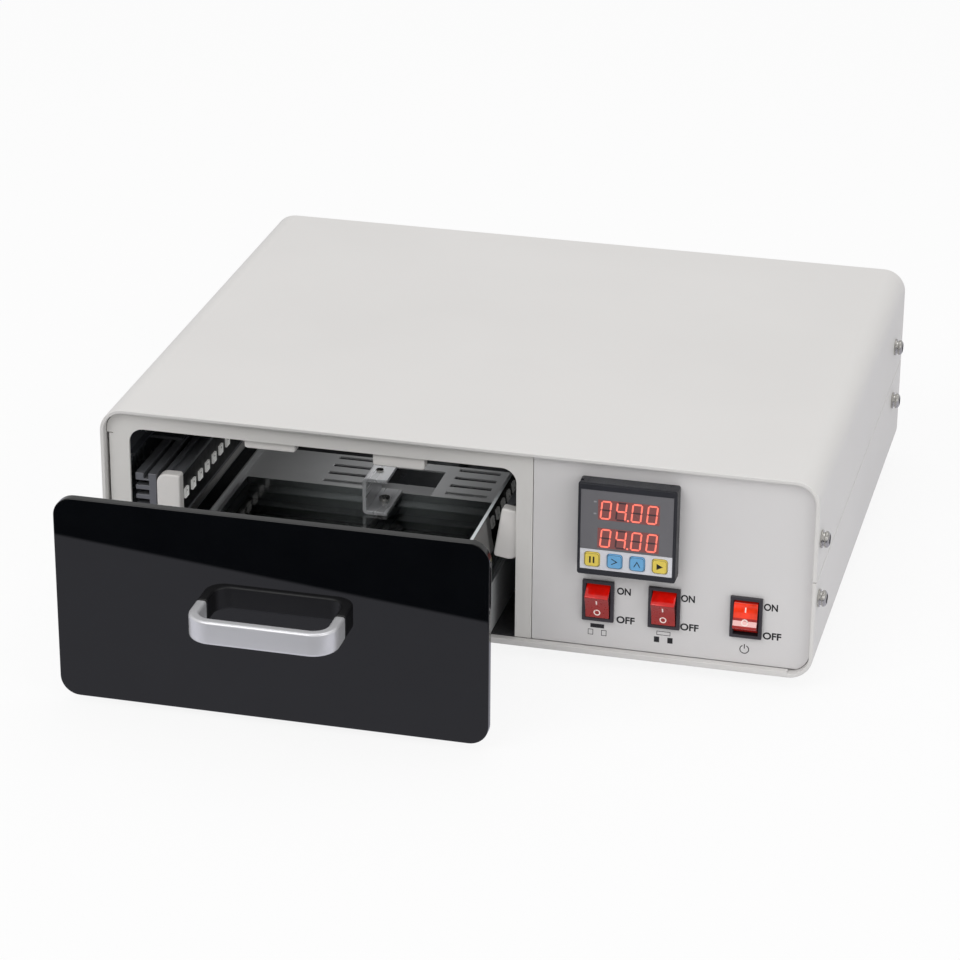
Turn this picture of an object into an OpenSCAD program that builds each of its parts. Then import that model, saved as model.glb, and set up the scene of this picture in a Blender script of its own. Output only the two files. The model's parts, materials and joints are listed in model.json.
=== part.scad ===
// Dental lab light curing unit: a sheet metal case with a pull-out curing drawer and a control panel.
// X runs right, Y runs to the back, Z runs up. The origin lies on the table, under the middle of the
// whole device with its drawer half open.

/* [Case] */
// Width of the case across its sides
case_w = 357; // [350:1:400]
// Depth of the case from its front edge to its rear edge
case_d = 294; // [290:1:340]
// Height of the case without its feet
case_h = 103; // [101:1:125]
// Thickness of the outer sheet
sheet_t = 2; // [1.4:0.1:2.4]
// Outside radius of the four long corners
corner_r = 12; // [8:1:16]
// Height of the seam between the cover and the base
seam_h = 51.5; // [46:0.5:56]
// Depth of the front and rear plates behind the case edges
face_recess = 4; // [3:0.5:8]
// Thickness of the front, rear and inner plates
plate_t = 1.5; // [1:0.1:2]
// Thickness of the thin bay lining and the drawer sheet
liner_t = 1; // [0.8:0.1:1.2]

/* [Feet] */
// Height of the rubber feet
foot_h = 6.5; // [5:0.5:15]
// Radius of the rubber feet
foot_r = 8; // [6:0.5:12]
// Distance from the case edges to the middle of each foot
foot_inset = 26; // [22:1:40]

/* [Curing bay] */
// Width of the bay from the left wall to the seam beside the control panel
bay_w = 216; // [212:1:225]
// Width of the drawer opening
open_w = 196; // [190:1:197]
// Width of the post right of the opening
stile_w = 8.3; // [7:0.1:10]
// Height of the rail over the opening
rail_h = 8.8; // [6:0.1:10]
// Corner radius of the opening
open_r = 7.5; // [3:0.5:12]

/* [Drawer] */
// Gap between the case and the back of the drawer front, as it stands half open
drawer_gap = 93.5; // [80:0.5:110]
// How far the drawer can still be pulled out
drawer_more = 90; // [60:1:100]
// Thickness of the drawer front
front_t = 4.5; // [3:0.5:6]
// Corner radius of the drawer front
front_r = 9.5; // [4:0.5:15]
// How far the drawer front reaches below the case
front_drop = 3; // [0:0.5:4.5]
// Distance from the top of the case down to the drawer front
front_top_gap = 3.5; // [2:0.5:8]
// How far the drawer front covers the frame at the left
front_lap_l = 1.5; // [1:0.5:8]
// How far the drawer front covers the frame at the right
front_lap_r = 12; // [4:0.5:16]
// Width of the drawer frame
drawer_w = 160; // [150:1:162]
// Length of the drawer frame
drawer_l = 240; // [225:1:245]
// Height of the drawer frame's top edge above the case bottom
drawer_top = 30; // [28:0.5:33]
// Distance from the opening's right edge to the drawer frame
drawer_side_gap = 11.7; // [10:0.1:14]
// Thickness of the glass plate
glass_t = 4; // [3:0.5:6]
// Distance from the drawer's side edges to the glass plate
glass_inset = 5.5; // [3:0.5:7]
// Louvre slots in each of the two groups behind the glass
louvre_count = 4; // [3:1:8]
// Length of one louvre slot
louvre_l = 22; // [16:1:30]
// Thickness of the clear pane on the drawer's right wall
pane_t = 1.7; // [1.2:0.1:2.4]
// Height of the clear pane
pane_h = 40; // [20:1:44]

/* [Handle] */
// Width of the handle
handle_w = 71; // [60:1:90]
// How far the handle stands out from the drawer front
handle_d = 42; // [32:1:50]
// Height of the handle bar
handle_h = 11.5; // [9:0.5:16]
// Wall of the handle ring
handle_wall = 5; // [4:0.5:6]
// Depth of the black half of the handle
handle_split = 20; // [14:1:26]
// Distance of the handle's middle right of the drawer front's middle
handle_dx = 7.1; // [0:0.1:30]
// Height of the handle's middle above the case bottom
handle_z = 59.8; // [50:0.2:70]

/* [Lamps] */
// Width of a lamp end cap
cap_w = 26; // [24:0.5:28]
// Thickness of a lamp end cap
cap_t = 12; // [10:0.5:13]
// Length of a lamp end cap
cap_l = 6.5; // [5:0.5:9]
// Length of a whole lamp
lamp_l = 252; // [240:1:256]
// Distance between light emitting diodes along a lamp
led_pitch = 11; // [9:0.5:16]
// Height of the left lamp's middle
side_lamp_z = 55.5; // [54:0.5:58]
// How much higher the right lamp hangs
right_lamp_lift = 2; // [0:0.5:3]
// Lean of the right lamp
right_lamp_tilt = 9; // [0:1:10]
// Distance between the middles of the two ceiling lamps
top_lamp_pitch = 65; // [50:1:80]
// How much lower the right ceiling lamp hangs
top_lamp_drop = 2; // [0:0.5:3]

/* [Control panel] */
// Outside size of the square timer
timer_size = 48; // [48:0.5:50]
// Distance from the panel's left edge to the timer's middle
timer_x = 47.8; // [40:0.1:60]
// Distance from the case top down to the timer's middle
timer_drop = 34; // [32:0.5:36]
// How far the timer stands out from its panel
timer_out = 8.7; // [6:0.1:10]
// Depth of the timer behind its panel
timer_deep = 72; // [60:1:100]
// Size of one timer key
key_size = 7.3; // [6:0.1:8]
// Distance between timer keys
key_pitch = 11; // [10:0.1:11.2]
// Travel of a timer key
key_travel = 0.6; // [0.4:0.1:0.8]
// Distance from the timer's lower edge down to the switches' middle
switch_drop = 16.9; // [15:0.1:19]
// Width of the two lamp switches
lamp_switch_w = 15.6; // [14:0.1:16]
// Height of the two lamp switches
lamp_switch_h = 21.5; // [20:0.1:22]
// Width of the power switch
power_switch_w = 15.6; // [14:0.1:16]
// Height of the power switch
power_switch_h = 21.5; // [20:0.1:22]
// Swing of a rocker between its two positions, in degrees
rocker_swing = 33; // [26:1:34]

/* [Rear] */
// Size of the square fan
fan_size = 60; // [50:1:60]
// Thickness of the fan
fan_t = 15; // [10:1:15]
// Blades on the fan
fan_blades = 7; // [5:1:9]

/* [Hidden] */

$fn = 64;
gap = 0.3;
seam_gap = 0.5;
fit = 0.1;
cut = 1;

front_y = -(case_d - drawer_gap - front_t - handle_d) / 2;
left_in = -case_w / 2 + sheet_t;
right_in = case_w / 2 - sheet_t;
top_in = case_h - sheet_t;
inner_r = corner_r - sheet_t;
lip_h = sheet_t + liner_t;
floor_z = lip_h;

seam_x = left_in + bay_w;
open_x1 = seam_x - stile_w;
open_x0 = open_x1 - open_w;
open_top = top_in - rail_h;
plate_back = face_recess + plate_t;
rear_out = case_d - face_recess;
rear_in = rear_out - plate_t;

liner_back = rear_in - fan_t - 2;
liner_front = plate_back + 12;
ceiling_z = top_in - liner_t - 0.4;
liner_left = left_in + gap + plate_t + 1.2;
liner_right = seam_x - gap - plate_t - 0.4;

drawer_x1 = open_x1 - drawer_side_gap;
drawer_x0 = drawer_x1 - drawer_w;
drawer_mid = (drawer_x0 + drawer_x1) / 2;
drawer_low = floor_z + 1;
drawer_y0 = -drawer_gap;
drawer_y1 = drawer_y0 + drawer_l;
wall_t = liner_t + 0.2;
ledge_w = 8;
glass_top = drawer_top - gap;
glass_low = glass_top - glass_t;
tie_z = floor_z + 8;
tie_w = 12;
bracket_w = 13;
bracket_l = 30;
bracket_h = 20;
bracket_x = drawer_mid - 3.5;
bracket_y = drawer_y0 + 161;
bracket_bar = 2;
glass_x0 = drawer_x0 + glass_inset;
glass_x1 = drawer_x1 - glass_inset;
glass_y1 = bracket_y + bracket_l + 0.2;
deck_front = glass_y1 - 8;
louvre_front = glass_y1 + 13;
louvre_pitch = (drawer_y1 - 2.3 - louvre_front) / (louvre_count - 0.65);
louvre_w = 0.35 * louvre_pitch;
louvre_mid = drawer_mid + 6.5;
louvre_side = 33;
deck_open_w = 30.6;

front_x0 = open_x0 - front_lap_l;
front_x1 = open_x1 + front_lap_r;
front_z0 = -front_drop;
front_z1 = case_h - front_top_gap;
front_face = -drawer_gap - front_t;
front_mid = (front_x0 + front_x1) / 2;
handle_x = front_mid + handle_dx;
handle_r = 12;
handle_back_wall = 4;

screw_r = 1.5;
screw_head_r = 4;
screw_head_h = 2.2;
washer_t = 1;
side_screw_front = 9;
side_screw_rear = case_d - 32;
side_screw_low = 40;
side_screw_high = 71;
flange_l = 10;
rear_flange_l = 36;

rail_w = 36;
rail_h_mm = 7;
rail_t = 1.2;
rail_front = 8;
rail_back = liner_back - 4;
inner_w = 26.4;
inner_back = drawer_y1 + 4;
inner_l = 230;
inner_z0 = floor_z + 2.6;
ball_r = 1.5;
ball_count = 9;
ball_pitch = 5;
cage_l = 50;
cage_open_front = rail_front + 2;
cage_y = cage_open_front + drawer_more / 2;
ball_x = (rail_w / 2 - rail_t + inner_w / 2) / 2;
ball_z = floor_z + 4;

body_w = 24;
body_t = 10;
strip_w = 20;
strip_t = 1.2;
led_size = 5;
led_h = 1;
lamp_front = plate_back + gap;
led_count = floor((lamp_l - 2 * cap_l - led_size) / led_pitch);
top_lamp_z = ceiling_z - cap_t / 2 - 0.2;
bracket_t = 1.5;
sink_w = 11;

panel_x0 = seam_x + gap / 2;
timer_cx = panel_x0 + timer_x - gap / 2;
timer_cz = case_h - timer_drop;
timer_face = face_recess - timer_out;
bezel_rim = 1.4;
pocket_d = 1.2;
window_h = 30.8;
keypad_h = 10.8;
key_z = timer_cz - timer_size / 2 + 3.1 + keypad_h / 2;
key_proud = 0.7;
switch_z = timer_cz - timer_size / 2 - switch_drop;
top_switch_x = timer_cx - 14.65;
side_switch_x = timer_cx + 17.85;
power_switch_x = (side_switch_x + lamp_switch_w / 2 + right_in) / 2 + 0.4;
switch_rim = 1.7;
switch_proud = 2;
switch_deep = 14;
pivot_in = 3.4;
crest_angle = 37;
crest_out = 1.8;

fan_x = drawer_mid;
fan_z = case_h / 2;
fan_bore = fan_size / 2 - 2.2;
fan_hole = fan_size / 2 - 5;
fan_screw_pitch = fan_size - 10;
inlet_x = (panel_x0 + right_in) / 2 + 16.575;
inlet_z = 36;
inlet_w = 50;
inlet_h = 34;
supply_left_gap = 22;
supply_right_gap = 17;
supply_rear_gap = 40;
supply_x0 = panel_x0 + supply_left_gap;
supply_w = right_in - supply_right_gap - supply_x0;
supply_l = 130;
supply_h = 38;

// Moves into the case: d is the depth behind the front edge and z the height over the case bottom
module at(x, d, z) {
    translate([x, front_y + d, foot_h + z]) children();
}

// A box given by its two corners in case places
module block(x0, x1, d0, d1, z0, z1) {
    at(x0, d0, z0) cube([x1 - x0, d1 - d0, z1 - z0]);
}

// Stands an outline drawn in X and Z upright, from depth d0 to d1
module upright(d0, d1) {
    at(0, d1, 0) rotate([90, 0, 0]) linear_extrude(d1 - d0) children();
}

// A hole or pin along Y
module rod_y(x, d0, d1, z, r) {
    at(x, d1, z) rotate([90, 0, 0]) cylinder(r = r, h = d1 - d0);
}

// A hole or pin along X
module rod_x(x0, x1, d, z, r) {
    at(x0, d, z) rotate([0, 90, 0]) cylinder(r = r, h = x1 - x0);
}

// A flat outline with its own radius at the top and at the bottom corners
module round_box(x0, x1, z0, z1, r_low, r_high) {
    for (side = [0, 1]) {
        low_x = side == 0 ? x0 + r_low : x1 - r_low;
        high_x = side == 0 ? x0 + r_high : x1 - r_high;
        if (r_low > 0) translate([low_x, z0 + r_low]) circle(r = r_low);
        if (r_high > 0) translate([high_x, z1 - r_high]) circle(r = r_high);
    }
    translate([x0, z0 + r_low]) square([x1 - x0, z1 - z0 - r_low - r_high]);
    translate([x0 + r_low, z0]) square([x1 - x0 - 2 * r_low, r_low + 0.01]);
    translate([x0 + r_high, z1 - r_high - 0.01]) square([x1 - x0 - 2 * r_high, r_high + 0.01]);
}

// The closed section of the case, cover and base together
module case_section() {
    difference() {
        round_box(-case_w / 2, case_w / 2, 0, case_h, corner_r, corner_r);
        round_box(left_in, right_in, sheet_t, top_in, inner_r, inner_r);
    }
}

// No screw sits high at the front of the left side
function screw_here(side, d, z) = side > 0 || d > side_screw_front || z < side_screw_high;

// The fixing places on the two sides of the case
module each_side_screw(z_list) {
    for (side = [-1, 1])
        for (d = [side_screw_front, side_screw_rear])
            for (z = z_list)
                if (screw_here(side, d, z))
                    at(side * case_w / 2, d, z) rotate([0, side * 90, 0]) children();
}

// Two groups of slots in the drawer's deck
module louvre_slots(z0, z1) {
    for (group = [-1, 1])
        for (i = [0:louvre_count - 1]) {
            x = louvre_mid + group * louvre_side;
            d = louvre_front + i * louvre_pitch;
            block(x - louvre_l / 2, x + louvre_l / 2, d, d + louvre_w, z0, z1);
        }
}

// Outer casing
module top_cover() {
    color("whitesmoke") difference() {
        upright(0, case_d) intersection() {
            case_section();
            translate([-case_w, seam_h + seam_gap / 2]) square([2 * case_w, case_h]);
        }
        each_side_screw([side_screw_high]) translate([0, 0, -sheet_t - cut])
            cylinder(r = screw_r + fit, h = sheet_t + 2 * cut);
    }
}

module base_tray() {
    color("whitesmoke") difference() {
        union() {
            upright(0, case_d) intersection() {
                case_section();
                translate([-case_w, -cut]) square([2 * case_w, seam_h - seam_gap / 2 + cut]);
            }
            block(-case_w / 2 + corner_r, case_w / 2 - corner_r, 0, face_recess, sheet_t - 0.1, lip_h);
            block(-case_w / 2 + corner_r, case_w / 2 - corner_r, rear_out, case_d, sheet_t - 0.1, lip_h);
        }
        each_side_screw([side_screw_low]) translate([0, 0, -sheet_t - cut])
            cylinder(r = screw_r + fit, h = sheet_t + 2 * cut);
        each_foot() cylinder(r = screw_r + fit, h = sheet_t + 2 * cut);
        each_rail_screw() translate([0, 0, -sheet_t - cut]) cylinder(r = screw_r + fit, h = 2 * cut + sheet_t);
    }
}

// The room inside the outer sheet, less a gap all round
module case_room() {
    round_box(left_in + gap, right_in - gap, sheet_t + gap, top_in - gap, inner_r - gap, inner_r - gap);
}

// The outline shared by the three upright plates
module plate_outline(x0, x1) {
    intersection() {
        case_room();
        translate([x0, lip_h + fit]) square([x1 - x0, case_h]);
    }
}

module side_flange(side, d0, d1, z0, z1) {
    x = side < 0 ? left_in + gap : right_in - gap - plate_t;
    difference() {
        block(x, x + plate_t, d0, d1, z0, z1);
        for (d = [side_screw_front, side_screw_rear])
            for (z = [side_screw_low, side_screw_high])
                if (screw_here(side, d, z))
                    rod_x(x - cut, x + plate_t + cut, d, z, screw_r + fit);
    }
}

module front_frame() {
    slit_z = open_top - 3.5;
    color("white") {
        difference() {
            upright(face_recess, plate_back) difference() {
                plate_outline(left_in, seam_x - gap / 2);
                round_box(open_x0, open_x1, 0, open_top, 0, open_r);
                translate([left_in - cut, 0]) square([cut + 1.4, slit_z]);
                translate([left_in - cut, slit_z]) square([cut + 3.6, 0.5]);
            }
            rod_y(open_x0 - 2.2, 0, plate_back + cut, top_in - gap - 0.8, 0.7);
        }
        translate([1.1, 0, 0]) side_flange(-1, plate_back - 0.01, plate_back + flange_l, corner_r + 2, slit_z - 2);
        block(left_in + 1.4, open_x0 - 2, plate_back - 0.01, plate_back + 8, corner_r + 2, corner_r + 2 + plate_t);
    }
}

module control_panel() {
    color("whitesmoke") {
        difference() {
            upright(face_recess, plate_back) plate_outline(panel_x0, right_in);
            block(timer_cx - timer_size / 2 + 1.5, timer_cx + timer_size / 2 - 1.5, 0, plate_back + cut,
                timer_cz - timer_size / 2 + 1.5, timer_cz + timer_size / 2 - 1.5);
            switch_cutout(top_switch_x, lamp_switch_w, lamp_switch_h);
            switch_cutout(side_switch_x, lamp_switch_w, lamp_switch_h);
            switch_cutout(power_switch_x, power_switch_w, power_switch_h);
        }
        side_flange(1, plate_back - 0.01, plate_back + flange_l, corner_r + 2, case_h - corner_r - 2);
    }
}

module switch_cutout(x, w, h) {
    block(x - w / 2 + 1, x + w / 2 - 1, 0, plate_back + cut, switch_z - h / 2 + 1, switch_z + h / 2 - 1);
}

module rear_panel() {
    color("whitesmoke") {
        difference() {
            upright(rear_in, rear_out) plate_outline(left_in, right_in);
            rod_y(fan_x, rear_in - cut, rear_out + cut, fan_z, fan_hole);
            each_fan_screw() translate([0, 0, -cut]) cylinder(r = screw_r + fit, h = plate_t + 2 * cut);
            block(inlet_x - inlet_w / 2 + 10, inlet_x + inlet_w / 2 - 10, rear_in - cut, rear_out + cut,
                inlet_z - inlet_h / 2 + 2, inlet_z + inlet_h / 2 - 2);
        }
        for (side = [-1, 1])
            side_flange(side, rear_in - rear_flange_l, rear_in + 0.01, corner_r + 2, case_h - corner_r - 2);
    }
}

module partition_wall() {
    x = seam_x - gap - plate_t;
    color("silver") {
        block(x, x + plate_t, plate_back + gap, rear_in - gap, lip_h + gap, top_in - gap);
        block(x + plate_t - 0.01, x + plate_t + 9, plate_back + 12, rear_in - 12, lip_h + gap, lip_h + gap + plate_t);
    }
}

// Lining of the curing bay: left wall with a lamp ledge, ceiling, right wall and back wall in one bent sheet
module bay_liner() {
    ledge_z = side_lamp_z + 14;
    color("dimgray") difference() {
        union() {
            upright(liner_front, liner_back) intersection() {
                translate([liner_left, floor_z + gap]) square([liner_t, top_in - inner_r - floor_z - gap]);
                case_room();
            }
            block(liner_left + inner_r - 1, liner_right, liner_front, liner_back, ceiling_z, ceiling_z + liner_t);
            at(liner_left + inner_r - 1, liner_back, top_in - inner_r) rotate([90, 0, 0]) intersection() {
                difference() {
                    cylinder(r = inner_r - 1, h = liner_back - liner_front);
                    translate([0, 0, -cut]) cylinder(r = inner_r - 1 - liner_t, h = liner_back + 2 * cut);
                }
                translate([-inner_r, 0, -cut]) cube([inner_r, inner_r, case_d]);
            }
            block(liner_left + inner_r - 1.01, liner_left + inner_r, liner_front, liner_back,
                ceiling_z, ceiling_z + liner_t);
            block(liner_right - liner_t, liner_right, liner_front, liner_back, floor_z + gap, ceiling_z + liner_t);
            upright(liner_back - liner_t, liner_back) intersection() {
                translate([liner_left, floor_z + gap])
                    square([liner_right - liner_left, top_in - inner_r - floor_z - gap]);
                case_room();
            }
            block(liner_left + inner_r, liner_right, liner_back - liner_t, liner_back, floor_z + gap, ceiling_z + 0.01);
            block(liner_left + liner_t - 0.01, liner_left + liner_t + 3.5, liner_front, liner_back,
                ledge_z, ledge_z + liner_t);
        }
        rod_y(fan_x, liner_back - liner_t - cut, liner_back + cut, fan_z, fan_hole);
    }
}

module bay_floor() {
    color("black") difference() {
        block(left_in + inner_r, liner_right, face_recess + gap, liner_back, sheet_t, floor_z);
        each_rail_screw() translate([0, 0, -sheet_t - cut])
            cylinder(r = screw_r + fit, h = sheet_t + liner_t + 2 * cut);
    }
}

// Fasteners of the case
module side_screws() {
    color("silver") each_side_screw([side_screw_low, side_screw_high]) {
        difference() {
            union() {
                translate([0, 0, 2 * washer_t]) cylinder(r = screw_head_r, h = screw_head_h - 1);
                translate([0, 0, 2 * washer_t + screw_head_h - 1])
                    cylinder(r1 = screw_head_r, r2 = screw_head_r - 1.2, h = 1, $fn = 48);
                translate([0, 0, -sheet_t - gap - plate_t - 0.6])
                    cylinder(r = screw_r, h = sheet_t + plate_t + 2 * washer_t + 1.2);
            }
            for (a = [0, 90])
                rotate([0, 0, a]) translate([-2.2, -0.4, 2 * washer_t + screw_head_h - 1.2]) cube([4.4, 0.8, 2]);
        }
    }
}

module side_washers() {
    color("gray") each_side_screw([side_screw_low, side_screw_high]) difference() {
        union() {
            cylinder(r = screw_head_r + 0.4, h = washer_t);
            translate([0, 0, washer_t - 0.01]) cylinder(r = screw_head_r - 0.6, h = washer_t + 0.01);
        }
        translate([0, 0, -cut]) cylinder(r = screw_r + fit, h = 4 * washer_t);
        translate([0, -0.3, washer_t]) cube([screw_head_r + 1, 0.6, 2 * washer_t]);
    }
}

module each_foot() {
    for (x = [-1, 1])
        for (d = [foot_inset, case_d - foot_inset])
            at(x * (case_w / 2 - foot_inset), d, -0.01) children();
}

module feet() {
    color("black") each_foot() difference() {
        translate([0, 0, -foot_h + 0.01]) cylinder(r1 = foot_r - 1, r2 = foot_r, h = foot_h, $fn = 48);
        translate([0, 0, -foot_h - cut]) cylinder(r = screw_head_r, h = foot_h / 2 + cut);
        translate([0, 0, -foot_h - cut]) cylinder(r = screw_r + fit, h = foot_h + 2 * cut);
    }
}

module foot_screws() {
    color("silver") each_foot() difference() {
        union() {
            translate([0, 0, -foot_h / 2 - 2]) cylinder(r = screw_head_r - 0.8, h = 2);
            translate([0, 0, -foot_h / 2 - 0.01]) cylinder(r = screw_r, h = foot_h / 2 + sheet_t - 0.2);
        }
        for (a = [0, 90])
            rotate([0, 0, a]) translate([-2, -0.4, -foot_h / 2 - 2 - cut]) cube([4, 0.8, 0.8 + cut]);
    }
}

// Drawer
module each_front_screw() {
    for (x = [drawer_x0 + 14, drawer_mid - 40, drawer_mid + 40, drawer_x1 - 14])
        at(x, drawer_y0, (drawer_low + drawer_top) / 2) rotate([90, 0, 0]) children();
}

module each_handle_screw() {
    for (side = [-1, 1])
        at(handle_x + side * (handle_w / 2 - handle_r - 4), drawer_y0, handle_z) rotate([90, 0, 0]) children();
}

module drawer_front() {
    color("black") difference() {
        upright(front_face, drawer_y0) round_box(front_x0, front_x1, front_z0, front_z1, front_r, front_r);
        each_front_screw() translate([0, 0, -cut]) cylinder(r = screw_r, h = cut + front_t - 1.5);
        each_handle_screw() translate([0, 0, -cut]) cylinder(r = screw_r + fit, h = front_t + 2 * cut);
    }
}

module front_screws() {
    color("silver") each_front_screw() {
        translate([0, 0, -wall_t - 2]) cylinder(r = screw_head_r - 1, h = 2);
        translate([0, 0, -wall_t - 0.01]) cylinder(r = screw_r - fit, h = wall_t + front_t - 2);
    }
}

// Ring outline of the handle, drawn with its back edge on y = 0 and its front at -handle_d
module handle_ring() {
    difference() {
        translate([0, -handle_d]) round_box(-handle_w / 2, handle_w / 2, 0, handle_d, handle_r, handle_r - 3);
        translate([0, -handle_d]) round_box(-handle_w / 2 + handle_wall, handle_w / 2 - handle_wall,
            handle_wall, handle_d - handle_back_wall, handle_r - handle_wall, handle_r - handle_wall);
    }
}

module handle_half(d0, d1) {
    at(handle_x, front_face, handle_z - handle_h / 2) linear_extrude(handle_h) intersection() {
        handle_ring();
        translate([-handle_w, -d1]) square([2 * handle_w, d1 - d0]);
    }
}

module handle_grip() {
    color("silver") handle_half(handle_split, handle_d + cut);
}

module handle_base() {
    color("black") difference() {
        handle_half(0, handle_split);
        each_handle_screw() cylinder(r = screw_r, h = front_t + handle_back_wall - 1);
    }
}

module handle_screws() {
    color("silver") each_handle_screw() {
        translate([0, 0, -2.2]) cylinder(r = screw_head_r - 0.8, h = 2.2);
        translate([0, 0, -0.01]) cylinder(r = screw_r - fit, h = front_t + handle_back_wall - 1.5);
    }
}

module drawer_frame() {
    color("gray") difference() {
        union() {
            for (side = [0, 1]) {
                x = side == 0 ? drawer_x0 : drawer_x1 - wall_t;
                ledge_x = side == 0 ? drawer_x0 + wall_t - 0.01 : drawer_x1 - wall_t - ledge_w + 0.01;
                block(x, x + wall_t, drawer_y0, drawer_y1, drawer_low, drawer_top);
                block(ledge_x, ledge_x + ledge_w, drawer_y0, drawer_y1, glass_low - wall_t, glass_low);
                stop_x = side == 0 ? drawer_x0 : drawer_x1 - wall_t - 10;
                block(stop_x, stop_x + 10 + wall_t, drawer_y1 - wall_t, drawer_y1, tie_z, drawer_top);
            }
            block(drawer_x0, drawer_x1, drawer_y0, drawer_y0 + wall_t, drawer_low, drawer_top);
            for (y = [drawer_y0, drawer_y0 + drawer_l / 2, drawer_y1 - tie_w])
                block(drawer_x0, drawer_x1, y, y + tie_w, tie_z, tie_z + wall_t);
            block(drawer_x0, drawer_x1, deck_front, drawer_y1, glass_low - wall_t, glass_low);
        }
        louvre_slots(glass_low - wall_t - cut, glass_low + cut);
        block(louvre_mid - deck_open_w / 2, louvre_mid + deck_open_w / 2, glass_y1 + 2, drawer_y1 - 8,
            glass_low - wall_t - cut, glass_low + cut);
        each_front_screw() translate([0, 0, -wall_t - cut]) cylinder(r = screw_r + fit, h = wall_t + 2 * cut);
        block(drawer_mid - inner_w / 2 - 6, drawer_mid + inner_w / 2 + 6, drawer_y0 - cut, drawer_y0 + wall_t + cut,
            drawer_low - cut, tie_z - 0.01);
    }
}

module glass_plate() {
    color("lightcyan", 0.4) difference() {
        block(glass_x0, glass_x1, drawer_y0 + wall_t + gap, glass_y1, glass_low, glass_top);
        rod_z(bracket_x + bracket_w / 2 + 1, bracket_y + bracket_l / 2, glass_low - cut, glass_top + cut,
            screw_r + fit);
    }
}

// A hole or pin along Z
module rod_z(x, d, z0, z1, r) {
    at(x, d, z0) cylinder(r = r, h = z1 - z0);
}

// Clear pane that stands on the drawer's right wall
module side_pane() {
    color("lightcyan", 0.4) block(drawer_x1 - pane_t - 0.4, drawer_x1 - 0.4, drawer_y0 + wall_t + gap,
        drawer_y1 - wall_t, drawer_top, drawer_top + pane_h);
}

// C-shaped work holder that stands on the glass
module work_bracket() {
    r = 2.5;
    color("silver") difference() {
        at(bracket_x, bracket_y + bracket_l, glass_top) rotate([90, 0, 0]) linear_extrude(bracket_l) difference() {
            union() {
                translate([r, 0]) square([bracket_w - r, bracket_h]);
                translate([0, r]) square([r + 0.01, bracket_h - 2 * r]);
                for (z = [r, bracket_h - r]) translate([r, z]) circle(r = r);
            }
            translate([bracket_bar, bracket_bar]) square([bracket_w, bracket_h - 2 * bracket_bar]);
        }
        rod_z(bracket_x + bracket_w / 2 + 1, bracket_y + bracket_l / 2, glass_top - cut,
            glass_top + bracket_bar + cut, screw_r + fit);
        for (d = [-5, 5])
            rod_z(bracket_x + bracket_w / 2, bracket_y + bracket_l / 2 + d, glass_top + bracket_h - bracket_bar - cut,
                glass_top + bracket_h + cut, 1 + fit);
    }
}

module bracket_screws() {
    z = glass_top + bracket_bar;
    color("silver") {
        at(bracket_x + bracket_w / 2 + 1, bracket_y + bracket_l / 2, z) {
            cylinder(r = 2.8, h = 2);
            translate([0, 0, -bracket_bar - glass_t - 3.5]) cylinder(r = screw_r, h = bracket_bar + glass_t + 4);
            translate([0, 0, -bracket_bar - glass_t - 2.4]) cylinder(r = 3.2, h = 2.4, $fn = 6);
        }
        for (d = [-5, 5])
            at(bracket_x + bracket_w / 2, bracket_y + bracket_l / 2 + d, glass_top + bracket_h) {
                cylinder(r = 1.9, h = 1.4);
                translate([0, 0, -3]) cylinder(r = 1, h = 3.01);
            }
    }
}

// Telescopic runner under the drawer
module each_rail_screw() {
    for (d = [rail_front + 20, (rail_front + rail_back) / 2, rail_back - 20])
        at(drawer_mid, d, floor_z) children();
}

module fixed_rail() {
    half = rail_w / 2;
    color("dimgray") difference() {
        union() {
            block(drawer_mid - half, drawer_mid + half, rail_front, rail_back, floor_z, floor_z + rail_t);
            for (side = [-1, 1]) {
                x = side < 0 ? drawer_mid - half : drawer_mid + half - rail_t;
                lip_x = side < 0 ? drawer_mid - half : drawer_mid + half - 2.6;
                block(x, x + rail_t, rail_front, rail_back, floor_z, floor_z + rail_h_mm);
                block(lip_x, lip_x + 2.6, rail_front, rail_back, floor_z + rail_h_mm - 1, floor_z + rail_h_mm);
            }
        }
        each_rail_screw() {
            translate([0, 0, -cut]) cylinder(r = screw_r + fit, h = 2 * cut + rail_t);
            translate([0, 0, 0.1]) cylinder(r1 = screw_r + fit, r2 = screw_r + 1.2 + fit, h = rail_t, $fn = 48);
        }
    }
}

module rail_screws() {
    color("silver") each_rail_screw() {
        translate([0, 0, -lip_h + 0.3]) cylinder(r = screw_r, h = lip_h);
        translate([0, 0, 0.1]) cylinder(r1 = screw_r, r2 = screw_r + 1.1, h = rail_t - 0.15, $fn = 48);
    }
}

module each_ball() {
    for (side = [-1, 1])
        for (i = [0:ball_count - 1])
            at(drawer_mid + side * ball_x, cage_y + cage_l / 2 + (i - (ball_count - 1) / 2) * ball_pitch, ball_z)
                children();
}

module ball_cage() {
    t = 0.6;
    low = floor_z + rail_t + gap;
    color("silver") {
        each_ball() sphere(r = ball_r, $fn = 24);
        difference() {
            union() {
                block(drawer_mid - ball_x - t / 2, drawer_mid + ball_x + t / 2, cage_y, cage_y + cage_l, low, low + t);
                for (side = [-1, 1])
                    block(drawer_mid + side * ball_x - t / 2, drawer_mid + side * ball_x + t / 2,
                        cage_y, cage_y + cage_l, low, floor_z + rail_h_mm - 1 - gap);
            }
            each_ball() rotate([0, 90, 0]) translate([0, 0, -2]) cylinder(r = ball_r + 0.15, h = 4);
            block(drawer_mid - 9, drawer_mid + 9, cage_y + 6, cage_y + cage_l - 6, floor_z, floor_z + 3);
        }
    }
}

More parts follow.
